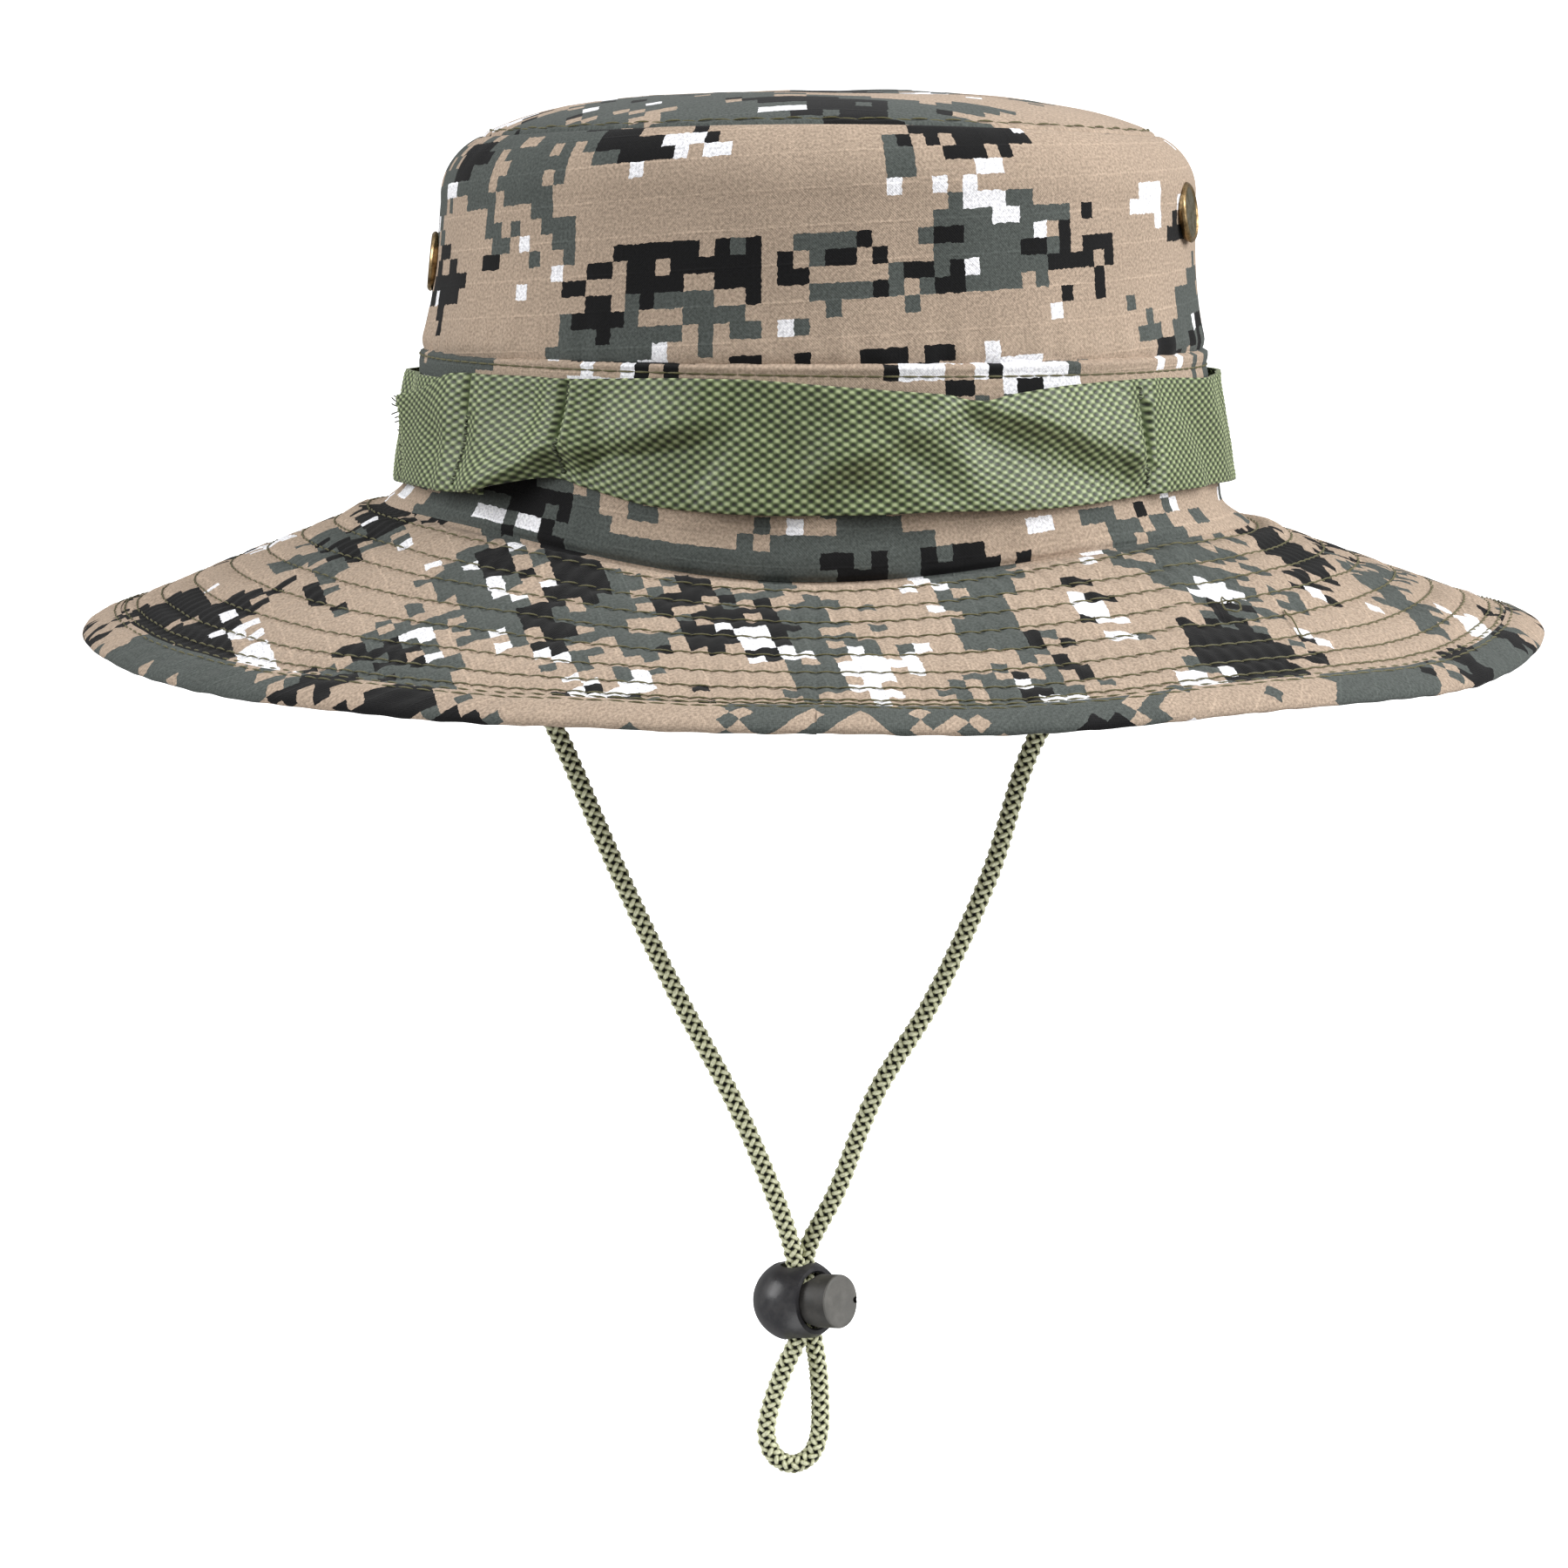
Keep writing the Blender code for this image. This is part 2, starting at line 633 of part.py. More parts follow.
def tab_line():
    """Middle line of a cord tape on the wearer's left, top to bottom, as (x, z)."""
    sunk = SWEATBAND_CLOTH + GAP + TAB_THICKNESS / 2
    line = [(sweatband_radius(z) - sunk, z) for z in (TAB_TOP_Z, 0.0, TAB_BEND_Z)]
    return line + [(line[-1][0] - TAB_REACH, TAB_BEND_Z - TAB_DROP)]


def cord_top():
    """Where a cord's rounded end turns in its tape: the chin strap's pivot."""
    x, z = tab_line()[-1]
    way = Vector((-TAB_REACH, 0.0, -TAB_DROP)).normalized()
    return Vector((x, 0.0, z)) + way * (CORD_RADIUS + GAP)


def cord_tab(side):
    """A short tape sewn inside the sweatband, drawn inwards by the cord."""
    sign = 1 if side == "right" else -1
    line = tab_line()
    outside = inset(line, -TAB_THICKNESS / 2)
    inside = inset(line, TAB_THICKNESS / 2)
    outline = outside + inside[::-1]
    sections = [[Vector((sign * x, y, z)) for x, z in outline] for y in (-TAB_WIDTH / 2, TAB_WIDTH / 2)]
    loft("cord_tab_" + side, sections, SWEAT_CLOTH)


def smooth(route, step):
    """Points about a step apart on a smooth curve through the route."""
    ends = [2 * route[0] - route[1], *route, 2 * route[-1] - route[-2]]
    fine = []
    for a, b, c, d in zip(ends, ends[1:], ends[2:], ends[3:]):
        for t in (i / 24 for i in range(24)):
            bend = (2 * a - 5 * b + 4 * c - d) * t**2 + (3 * b - a - 3 * c + d) * t**3
            fine.append(b + 0.5 * ((c - a) * t + bend))
    fine.append(route[-1])
    along = [0.0]
    for p, q in zip(fine, fine[1:]):
        along.append(along[-1] + (q - p).length)
    count = max(2, round(along[-1] / step))
    points, k = [], 0
    for i in range(count + 1):
        at = along[-1] * i / count
        while k < len(along) - 2 and along[k + 1] < at:
            k += 1
        points.append(fine[k].lerp(fine[k + 1], (at - along[k]) / (along[k + 1] - along[k])))
    return points, along[-1]


def tube(name, points, radii, thickness, surface, axis, sides=2):
    curve = bpy.data.curves.new(name, "CURVE")
    curve.dimensions = "3D"
    curve.bevel_depth = thickness / 2
    curve.bevel_resolution = sides
    curve.use_fill_caps = True
    spline = curve.splines.new("POLY")
    spline.points.add(len(points) - 1)
    for place, point, radius in zip(spline.points, points, radii):
        place.co = (*point, 1.0)
        place.radius = radius
    return finish(name, curve, surface, axis)


def lock_frame():
    """Axes of the cord lock: X along the plunger, Z along the cord hole, at the ball's centre."""
    turn = Matrix.Rotation(math.radians(LOCK_TURN_DEG), 4, "Z")
    turn = turn @ Matrix.Rotation(-math.radians(LOCK_TILT_DEG), 4, "Y")
    hole = Vector(LOCK_HOLE_PLACE)
    return Matrix.Translation(hole - turn @ Vector((LOCK_HOLE_OFFSET, 0, 0))) @ turn


def chin_cord(axis):
    """One cord in three stretches: a leg to each side and the loop below the lock."""
    lock = lock_frame()

    def in_lock(sign, height):
        return lock @ Vector((LOCK_HOLE_OFFSET, sign * STRAND_OFFSET, height))

    pivot = cord_top()
    total = 0.0
    for side, sign, route in (("left", -1, LEFT_LEG_ROUTE), ("right", 1, RIGHT_LEG_ROUTE)):
        top = Vector((sign * pivot.x, pivot.y, pivot.z))
        line = [top, *map(Vector, route), in_lock(sign, LOCK_HOLE_RUN), in_lock(sign, GAP / 2)]
        points, length = smooth(line, CORD_POINT_STEP)
        total += length
        way = (points[1] - points[0]).normalized()
        crown = [math.radians(deg) for deg in (25, 50, 75)]
        dome = [top - way * CORD_RADIUS * math.cos(turn) for turn in crown]
        radii = [math.sin(turn) for turn in crown] + [1.0] * len(points)
        tube("cord_leg_" + side, dome + points, radii, CORD_DIAMETER, CORD, axis)
    line = [in_lock(-1, -GAP / 2), in_lock(-1, -LOCK_HOLE_RUN), *map(Vector, LOOP_ROUTE)]
    line += [in_lock(1, -LOCK_HOLE_RUN), in_lock(1, -GAP / 2)]
    points, length = smooth(line, CORD_POINT_STEP * 0.6)
    tube("cord_loop", points, [1.0] * len(points), CORD_DIAMETER, CORD, axis)
    print(f"chin cord {(total + length) * 1000:.0f} mm in all, loop {length * 1000:.0f} mm")


def rounded_slot(near, far, half_width, low, high, frame):
    """Two sections of a slot with round corners, one below the ball and one above it."""
    count = 4
    radius = LOCK_HOLE_HALF
    corners = (
        (far - radius, half_width - radius), (near + radius, half_width - radius),
        (near + radius, radius - half_width), (far - radius, radius - half_width),
    )
    rows = []
    for z in (low, high):
        row = []
        for k, (x, y) in enumerate(corners):
            for turn in steps(k * math.pi / 2, (k + 1) * math.pi / 2, count):
                row.append(frame @ Vector((x + radius * math.cos(turn), y + radius * math.sin(turn), z)))
        rows.append([p for i, p in enumerate(row) if (p - row[i - 1]).length > GAP / 10])
    return rows


def cord_lock(lock_axis, plunger_axis):
    frame = lock_frame()
    along = frame @ Matrix.Rotation(math.pi / 2, 4, "Y")
    half_slot = STRAND_OFFSET + LOCK_HOLE_HALF
    near, far = LOCK_HOLE_OFFSET - LOCK_HOLE_HALF, LOCK_HOLE_OFFSET + LOCK_HOLE_HALF
    heel = near - PLUNGER_HEEL
    bore = PLUNGER_RADIUS + GAP
    bore_end = heel - PLUNGER_TRAVEL - GAP
    pocket_end = bore_end - SPRING_POCKET_DEPTH
    clear = 2 * LOCK_HALF_LENGTH

    form = bmesh.new()
    bmesh.ops.create_uvsphere(form, u_segments=20, v_segments=14, radius=1.0)
    size = Matrix.Diagonal((LOCK_HALF_LENGTH, LOCK_HALF_HEIGHT, LOCK_HALF_HEIGHT, 1.0))
    pole = Matrix.Rotation(math.pi / 2, 4, "Y")
    bmesh.ops.transform(form, matrix=frame @ size @ pole, verts=form.verts)
    ball = mesh_object("cord_lock_body", form, PLASTIC, lock_axis)
    core = turned("lock_bore", (
        (0.0, clear), (clear, clear), (clear, LOCK_MOUTH), (bore, LOCK_MOUTH), (bore, bore_end),
        (SPRING_POCKET_RADIUS, bore_end), (SPRING_POCKET_RADIUS, pocket_end), (0.0, pocket_end),
    ), along, PLASTIC)
    cut(ball, cutter(core))
    slot = loft("lock_slot", rounded_slot(near, far, half_slot, -clear, clear, frame), PLASTIC)
    cut(ball, cutter(slot))

    plunger = turned("cord_lock_plunger", (
        (0.0, PLUNGER_FACE), (PLUNGER_RADIUS - PLUNGER_BEVEL, PLUNGER_FACE),
        (PLUNGER_RADIUS, PLUNGER_FACE - PLUNGER_BEVEL), (PLUNGER_RADIUS, heel), (0.0, heel),
    ), along, PLASTIC, plunger_axis)
    window = rounded_slot(near, far + PLUNGER_TRAVEL, half_slot, -clear, clear, frame)
    cut(plunger, cutter(loft("plunger_slot", window, PLASTIC)))

    low, high = pocket_end + GAP + SPRING_WIRE / 2, heel - GAP - SPRING_WIRE / 2
    points = []
    for i in range(SPRING_TURNS * CURL_POINTS + 1):
        turn = math.tau * i / CURL_POINTS
        reach = low + (high - low) * i / (SPRING_TURNS * CURL_POINTS)
        across = SPRING_RADIUS * math.cos(turn), SPRING_RADIUS * math.sin(turn)
        points.append(frame @ Vector((reach, *across)))
    pitch = (high - low) / SPRING_TURNS
    print(f"spring: least gap between curls {(pitch - SPRING_WIRE) * 1000:.2f} mm")
    tube("cord_lock_spring", points, [1.0] * len(points), SPRING_WIRE, STEEL, lock_axis, sides=1)


def main():
    fold_z = brim_z(FOLD_X, 0.0)
    axes = {
        "right": empty("right_flap_axis", (FOLD_X, 0.0, fold_z)),
        "left": empty("left_flap_axis", (-FOLD_X, 0.0, brim_z(FOLD_X, math.pi))),
    }
    strap_axis = empty("chin_strap_axis", (0.0, cord_top().y, cord_top().z))
    lock_axis = empty("cord_lock_axis", LOCK_HOLE_PLACE, strap_axis)
    plunger_axis = empty("plunger_axis", lock_frame().translation, lock_axis)
    walls = crown_halves()
    crown_tip()
    sweatband()
    flaps = brim(axes)
    webbing()
    crown_snaps(walls)
    brim_snaps(flaps, axes)
    for side in ("left", "right"):
        cord_tab(side)
    chin_cord(strap_axis)
    cord_lock(lock_axis, plunger_axis)
    for axis in (axes["right"], axes["left"], strap_axis, plunger_axis):
        print(axis.name, [round(v, 5) for v in axis.matrix_world.translation])
    print("plunger presses along", [round(v, 4) for v in -lock_frame().col[0].xyz])


main()
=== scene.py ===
import math
import random
from functools import lru_cache

import bmesh
import bpy
from mathutils import Matrix, Vector, kdtree, noise


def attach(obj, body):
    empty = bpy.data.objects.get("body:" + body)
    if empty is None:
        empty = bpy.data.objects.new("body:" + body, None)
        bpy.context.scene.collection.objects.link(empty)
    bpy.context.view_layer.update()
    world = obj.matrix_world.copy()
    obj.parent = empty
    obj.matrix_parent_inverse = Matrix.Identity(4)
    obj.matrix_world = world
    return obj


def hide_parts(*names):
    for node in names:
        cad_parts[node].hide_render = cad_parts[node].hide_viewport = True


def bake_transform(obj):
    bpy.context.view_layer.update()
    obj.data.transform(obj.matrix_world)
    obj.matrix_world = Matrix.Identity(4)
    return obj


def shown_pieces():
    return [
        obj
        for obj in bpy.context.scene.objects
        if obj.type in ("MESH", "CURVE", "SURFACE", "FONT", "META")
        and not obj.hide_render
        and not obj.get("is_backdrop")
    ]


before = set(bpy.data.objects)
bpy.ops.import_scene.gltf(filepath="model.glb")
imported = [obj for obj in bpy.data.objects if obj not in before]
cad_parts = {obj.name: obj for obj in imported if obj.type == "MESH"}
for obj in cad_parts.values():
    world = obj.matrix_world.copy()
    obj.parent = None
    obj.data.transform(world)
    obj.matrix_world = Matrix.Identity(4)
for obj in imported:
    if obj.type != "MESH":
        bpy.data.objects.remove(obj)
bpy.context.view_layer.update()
print("frame loaded:", len(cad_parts), "nodes")

scene = bpy.context.scene
scene.view_settings.view_transform = "Standard"

# the hat's sizes in metres, as the solids have them; the flare at the band's foot is in the looks alone
hat = {
    "bandBase": 0.0955, "bandTop": 0.0911, "foldZ": 0.0395,
    "shoulder": 0.0876, "shoulderZ": 0.075, "tipRadius": 0.0783, "tipEdgeZ": 0.0908,
    "tipTopZ": 0.0986, "tipFlatness": 4.8, "rimWave": 0.0018, "cloth": 0.0012,
    "brimEdge": 0.170, "brimInner": 0.094, "dropSide": 0.0237, "dropFront": 0.0302, "sag": 0.0025,
    "seamDip": 0.0066, "seamRise": 0.0044, "seamTilt": 0.0022, "brimStack": 0.0034,
    "bendStart": 0.0985, "bendMiddle": 0.104, "bendEnd": 0.1155, "sagPeak": 6.75,
    "flareFront": 0.0012, "flareSide": 0.0066, "flareTilt": 0.0007,
}


def polar(radius, angle, z):
    return Vector((radius * math.cos(angle), radius * math.sin(angle), z))


def ease(value):
    value = min(1.0, max(0.0, value))
    return value * value * (3 - 2 * value)


def hump(distance, width):
    return math.exp(-(distance / width) ** 2)


def ripple(point, size, seed=0.0):
    return noise.noise(Vector(point) / size + Vector((seed, 1.7 * seed, -0.6 * seed)))


def brimZ(radius, angle):
    out = (radius - hat["bandBase"]) / (hat["brimEdge"] - hat["bandBase"])
    across, along = math.cos(angle) ** 2, math.sin(angle) ** 2
    side = hat["seamRise"] - hat["seamTilt"] * math.cos(angle)
    seam = side - (hat["seamDip"] + side) * along**2
    edge = -hat["dropSide"] * across - hat["dropFront"] * along
    edge -= hat["sag"] * hat["sagPeak"] * across**2 * along
    return seam + (edge - seam) * out


def bandRadius(z):
    return hat["bandBase"] + (hat["bandTop"] - hat["bandBase"]) * z / hat["foldZ"]


def seamFlare(angle):
    # the band turns out onto the brim, furthest at the sides
    wide = hat["flareSide"] + hat["flareTilt"] * math.cos(angle)
    return hat["flareFront"] + (wide - hat["flareFront"]) * math.cos(angle) ** 2


def seamRadius(angle):
    return bandRadius(brimZ(hat["bandBase"], angle)) + seamFlare(angle)


def rimLift(z, angle):
    share = max(0.0, (z - hat["foldZ"]) / (hat["tipEdgeZ"] - hat["foldZ"]))
    return -hat["rimWave"] * share * math.cos(2 * angle)


# shader helpers


def addNode(tree, kind, inputs=None, **options):
    node = tree.nodes.new(kind)
    for key, value in options.items():
        setattr(node, key, value)
    for key, value in (inputs or {}).items():
        if isinstance(value, bpy.types.NodeSocket):
            tree.links.new(value, node.inputs[key])
        else:
            node.inputs[key].default_value = value
    return node


def calc(tree, operation, *values, clamp=False):
    inputs = dict(enumerate(values))
    return addNode(tree, "ShaderNodeMath", inputs, operation=operation, use_clamp=clamp).outputs[0]


def vectorCalc(tree, operation, *values):
    return addNode(tree, "ShaderNodeVectorMath", dict(enumerate(values)), operation=operation).outputs[0]


def mixColour(tree, share, first, second, blend="MIX"):
    inputs = {0: share, 6: first, 7: second}
    return addNode(tree, "ShaderNodeMix", inputs, data_type="RGBA", blend_type=blend).outputs[2]


def remap(tree, value, low, high, first=0.0, last=1.0):
    return addNode(tree, "ShaderNodeMapRange", {0: value, 1: low, 2: high, 3: first, 4: last}).outputs[0]


def speckle(tree, place, scale, detail, **more):
    inputs = {"Vector": place, "Scale": scale, "Detail": detail, **more}
    return addNode(tree, "ShaderNodeTexNoise", inputs).outputs["Fac"]


def newGroup(name, takes, gives):
    group = bpy.data.node_groups.new(name, "ShaderNodeTree")
    for label, kind, value in takes:
        socket = group.interface.new_socket(label, in_out="INPUT", socket_type="NodeSocket" + kind)
        if value is not None:
            socket.default_value = value
    for label, kind in gives:
        group.interface.new_socket(label, in_out="OUTPUT", socket_type="NodeSocket" + kind)
    source = group.nodes.new("NodeGroupInput")
    target = group.nodes.new("NodeGroupOutput")
    return group, source.outputs, target.inputs


def srgb(red, green, blue):
    def straight(value):
        value /= 255
        return value / 12.92 if value <= 0.04045 else ((value + 0.055) / 1.055) ** 2.4
    return (straight(red), straight(green), straight(blue), 1.0)


# inks of the pixelled print: where each lies and how much of the cloth it takes
inks = {
    "tan": srgb(173, 154, 136),
    "grey": srgb(80, 85, 82),
    "black": srgb(16, 16, 17),
    "white": srgb(240, 240, 244),
    "patches": {
        "grey": {"reach": (0.064, 0.032), "seed": (3.1, 7.4, 0.3), "scatter": 0.11},
        "black": {"reach": (0.056, 0.028), "seed": (11.7, 2.2, 5.9), "scatter": 0.09},
        "white": {"reach": (0.038, 0.020), "seed": (6.3, 14.8, 9.1), "scatter": 0.08},
    },
}


def makePrintGroup():
    takes = [("Print", "Vector", None), ("Cell", "Float", 0.0036), ("Grey", "Float", 0.555),
             ("Black", "Float", 0.60), ("White", "Float", 0.655)]
    group, given, out = newGroup("pixelPrint", takes, [("Color", "Color")])
    bleed = addNode(group, "ShaderNodeTexNoise", {"Vector": given["Print"], "Scale": 800.0, "Detail": 1.0})
    shifted = vectorCalc(group, "SUBTRACT", bleed.outputs["Color"], (0.5, 0.5, 0.5))
    shifted = vectorCalc(group, "MULTIPLY_ADD", shifted, (0.0009, 0.0009, 0.0), given["Print"])
    step = addNode(group, "ShaderNodeCombineXYZ", {0: given["Cell"], 1: given["Cell"], 2: 1.0}).outputs[0]
    cell = vectorCalc(group, "SNAP", shifted, step)
    colour = inks["tan"]
    for ink in ("grey", "black", "white"):
        patch = inks["patches"][ink]
        reach = (1 / patch["reach"][0], 1 / patch["reach"][1], 0.0)
        placed = vectorCalc(group, "MULTIPLY_ADD", cell, reach, patch["seed"])
        field = speckle(group, placed, 1.0, 2.5, Roughness=0.55, Lacunarity=2.3)
        stray = vectorCalc(group, "MULTIPLY_ADD", cell, (613.0, 617.0, 1.0), patch["seed"])
        dice = addNode(group, "ShaderNodeTexWhiteNoise", {"Vector": stray}, noise_dimensions="3D")
        spread = calc(group, "MULTIPLY_ADD", dice.outputs["Value"], patch["scatter"], -patch["scatter"] / 2)
        amount = calc(group, "ADD", field, spread)
        shown = calc(group, "GREATER_THAN", amount, given[ink.capitalize()])
        colour = mixColour(group, shown, colour, inks[ink])
    group.links.new(colour, out["Color"])
    return group


def makeClothGroup():
    takes = [("Print", "Vector", None), ("Pitch", "Float", 0.0080), ("Weave", "Float", 0.0006)]
    gives = [("Line", "Float"), ("Height", "Float"), ("Fleck", "Float")]
    group, given, out = newGroup("ripstopCloth", takes, gives)
    parts = addNode(group, "ShaderNodeSeparateXYZ", {0: given["Print"]}).outputs
    lines = []
    for axis, strength in ((0, 0.35), (1, 1.0)):
        place = calc(group, "DIVIDE", parts[axis], given["Pitch"])
        off = calc(group, "ABSOLUTE", calc(group, "SUBTRACT", calc(group, "FRACT", place), 0.5))
        line = addNode(group, "ShaderNodeMapRange", {0: off, 1: 0.0, 2: 0.055, 3: strength, 4: 0.0},
                       interpolation_type="SMOOTHSTEP").outputs[0]
        lines.append(line)
    line = calc(group, "MAXIMUM", *lines)
    patchy = calc(group, "MULTIPLY_ADD", speckle(group, given["Print"], 90.0, 2.0), 1.6, -0.3, clamp=True)
    line = calc(group, "MULTIPLY", line, patchy)
    yarns = []
    for axis in (0, 1):
        turn = calc(group, "DIVIDE", calc(group, "MULTIPLY", parts[axis], math.tau), given["Weave"])
        yarns.append(calc(group, "SINE", turn))
    weave = calc(group, "MULTIPLY_ADD", calc(group, "MULTIPLY", *yarns), 0.5, 0.5)
    fuzz = speckle(group, given["Print"], 1500.0, 3.0)
    height = calc(group, "MULTIPLY_ADD", weave, 0.45, calc(group, "MULTIPLY", fuzz, 0.55))
    height = calc(group, "MULTIPLY_ADD", line, 0.9, height)
    group.links.new(line, out["Line"])
    group.links.new(height, out["Height"])
    group.links.new(fuzz, out["Fleck"])
    return group


def makeMottleGroup():
    takes = [("Vector", "Vector", None), ("Size", "Float", 0.03),
             ("Low", "Float", 0.9), ("High", "Float", 1.06)]
    group, given, out = newGroup("softMottle", takes, [("Shade", "Float")])
    scale = calc(group, "DIVIDE", 1.0, given["Size"])
    cloud = speckle(group, given["Vector"], scale, 4.0, Roughness=0.6)
    group.links.new(remap(group, cloud, 0.3, 0.7, given["Low"], given["High"]), out["Shade"])
    return group


printGroup = makePrintGroup()
clothGroup = makeClothGroup()
mottleGroup = makeMottleGroup()


def placeGroup(tree, group, inputs):
    return addNode(tree, "ShaderNodeGroup", inputs, node_tree=group).outputs


def mottled(tree, place, size, low, high):
    return placeGroup(tree, mottleGroup, {"Vector": place, "Size": size, "Low": low, "High": high})["Shade"]


def newMaterial(name, roughness=0.8, metallic=0.0, sheen=0.0):
    made = bpy.data.materials.new(name)
    made.use_nodes = True
    tree = made.node_tree
    shader = tree.nodes["Principled BSDF"]
    shader.inputs["Roughness"].default_value = roughness
    shader.inputs["Metallic"].default_value = metallic
    shader.inputs["Sheen Weight"].default_value = sheen
    return made, tree, shader


def bump(tree, shader, height, depth, strength=1.0):
    node = addNode(tree, "ShaderNodeBump", {"Strength": strength, "Distance": depth, "Height": height})
    tree.links.new(node.outputs[0], shader.inputs["Normal"])


def paint(tree, shader, colour, *shades):
    for shade in shades:
        colour = mixColour(tree, 1.0, colour, shade, "MULTIPLY")
    tree.links.new(colour, shader.inputs["Base Color"])


def roughen(tree, shader, value, low, high, first, last):
    tree.links.new(remap(tree, value, low, high, first, last), shader.inputs["Roughness"])


def objectPlace(tree):
    return addNode(tree, "ShaderNodeTexCoord").outputs["Object"]


def printPlace(tree, move=(0.0, 0.0), turnDeg=0.0):
    uv = addNode(tree, "ShaderNodeUVMap", uv_map="print").outputs[0]
    mapping = addNode(tree, "ShaderNodeMapping", {
        "Vector": uv, "Location": (move[0], move[1], 0.0), "Rotation": (0.0, 0.0, math.radians(turnDeg))})
    return mapping.outputs[0]


def camoCloth(name, move, turnDeg=0.0, ink=(0.54, 0.565, 0.62), cell=0.0036, faded=0.0):
    made, tree, shader = newMaterial(name, roughness=0.88, sheen=0.06)
    shader.inputs["Specular IOR Level"].default_value = 0.2
    place = printPlace(tree, move, turnDeg)
    colour = placeGroup(tree, printGroup, {
        "Print": place, "Cell": cell, "Grey": ink[0], "Black": ink[1], "White": ink[2]})["Color"]
    cloth = placeGroup(tree, clothGroup, {"Print": place})
    if faded:
        colour = mixColour(tree, faded, colour, srgb(196, 184, 166))
    lifted = calc(tree, "MULTIPLY_ADD", cloth["Line"], 0.34, 1.0)
    fleck = remap(tree, cloth["Fleck"], 0.34, 0.66, 0.74, 1.26)
    paint(tree, shader, colour, lifted, fleck, mottled(tree, place, 0.028, 0.95, 1.05))
    bump(tree, shader, cloth["Height"], 0.00016, 0.8)
    return made


crownPrint = camoCloth("camoCrown", (0.031, 0.012), turnDeg=-3.0)
tipPrint = camoCloth("camoTip", (0.212, 0.147))
bandPrint = camoCloth("camoBand", (0.431, 0.073), ink=(0.565, 0.585, 0.595))
brimPrint = camoCloth("camoBrim", (0.625, 0.418), turnDeg=78.0, ink=(0.562, 0.57, 0.62))
underPrint = camoCloth("camoUnder", (0.871, 0.233), ink=(0.545, 0.56, 0.62))
bindPrint = camoCloth("camoBinding", (0.154, 0.566), turnDeg=42.0, ink=(0.53, 0.575, 0.70))
reversePrint = camoCloth("camoReverse", (0.031, 0.012), faded=0.55)


def plainCloth(name, colour, weave=0.0011):
    made, tree, shader = newMaterial(name, roughness=0.86, sheen=0.1)
    place = printPlace(tree)
    cloth = placeGroup(tree, clothGroup, {"Print": place, "Weave": weave})
    fleck = remap(tree, cloth["Fleck"], 0.25, 0.75, 0.8, 1.15)
    paint(tree, shader, colour, fleck, mottled(tree, place, 0.02, 0.9, 1.08))
    bump(tree, shader, cloth["Height"], 0.0002, 0.8)
    return made


sweatCloth = plainCloth("sweatbandTwill", srgb(112, 108, 84))
tabTape = plainCloth("tabTape", srgb(88, 92, 62), weave=0.0014)

# basket weave of the webbing: raised yarns, raised in the mesh too, with painted shade in the holes between
# them and painted highlights on their tops
weave = {"wide": 0.00153, "high": 0.00092, "raise": 0.00019}


def makeWebbingMaterial():
    made, tree, shader = newMaterial("webbingWeave", roughness=0.50, sheen=0.12)
    place = printPlace(tree)
    parts = addNode(tree, "ShaderNodeSeparateXYZ", {0: place}).outputs
    waves = []
    for axis, step in ((0, weave["wide"]), (1, weave["high"])):
        waves.append(calc(tree, "COSINE", calc(tree, "MULTIPLY", parts[axis], math.pi / step)))
    dot = calc(tree, "MULTIPLY_ADD", calc(tree, "MULTIPLY", *waves), 0.5, 0.5)
    # painted light: the ramp darkens the holes as painted shade and lightens the yarns' tops as painted
    # highlights around the yarn's own olive
    ramp = addNode(tree, "ShaderNodeValToRGB", {"Fac": dot})
    points = ramp.color_ramp.elements
    points[0].position, points[0].color = 0.12, srgb(34, 40, 22)
    points[1].position, points[1].color = 0.94, srgb(172, 184, 138)
    middle = points.new(0.46)
    middle.color = srgb(82, 97, 58)
    fibre = speckle(tree, place, 2600.0, 2.0)
    fleck = remap(tree, fibre, 0.3, 0.7, 0.86, 1.12)
    paint(tree, shader, ramp.outputs["Color"], fleck, mottled(tree, place, 0.016, 0.9, 1.1))
    bump(tree, shader, calc(tree, "MULTIPLY_ADD", fibre, 0.25, dot), 0.00018, 0.7)
    return made


webbingWeave = makeWebbingMaterial()


def threadMaterial(name, colour, size=0.0004):
    made, tree, shader = newMaterial(name, roughness=0.6, sheen=0.1)
    ply = speckle(tree, objectPlace(tree), 1 / size, 2.0)
    paint(tree, shader, colour, remap(tree, ply, 0.3, 0.7, 0.7, 1.25))
    bump(tree, shader, ply, 0.00012, 0.6)
    return made


seamThread = threadMaterial("seamThread", srgb(92, 88, 53))
tackThread = threadMaterial("tackThread", srgb(52, 60, 34))


def makeCordMaterial():
    # painted shade: dark deep between the yarns and on the core, pale on the yarns' crests, by each point's
    # distance from the cord's middle
    made, tree, shader = newMaterial("cordYarn", roughness=0.62, sheen=0.1)
    depthShade = addNode(tree, "ShaderNodeAttribute", attribute_name="depthShade").outputs["Fac"]
    ramp = addNode(tree, "ShaderNodeValToRGB", {"Fac": depthShade})
    points = ramp.color_ramp.elements
    points[0].position, points[0].color = 0.38, srgb(22, 22, 15)
    points[1].position, points[1].color = 0.97, srgb(230, 231, 196)
    for place, colour in ((0.56, srgb(58, 59, 40)), (0.72, srgb(166, 168, 128))):
        points.new(place).color = colour
    fibre = speckle(tree, objectPlace(tree), 1900.0, 2.0)
    paint(tree, shader, ramp.outputs["Color"], remap(tree, fibre, 0.3, 0.7, 0.75, 1.2))
    bump(tree, shader, fibre, 0.00012, 0.6)
    return made


cordYarn = makeCordMaterial()


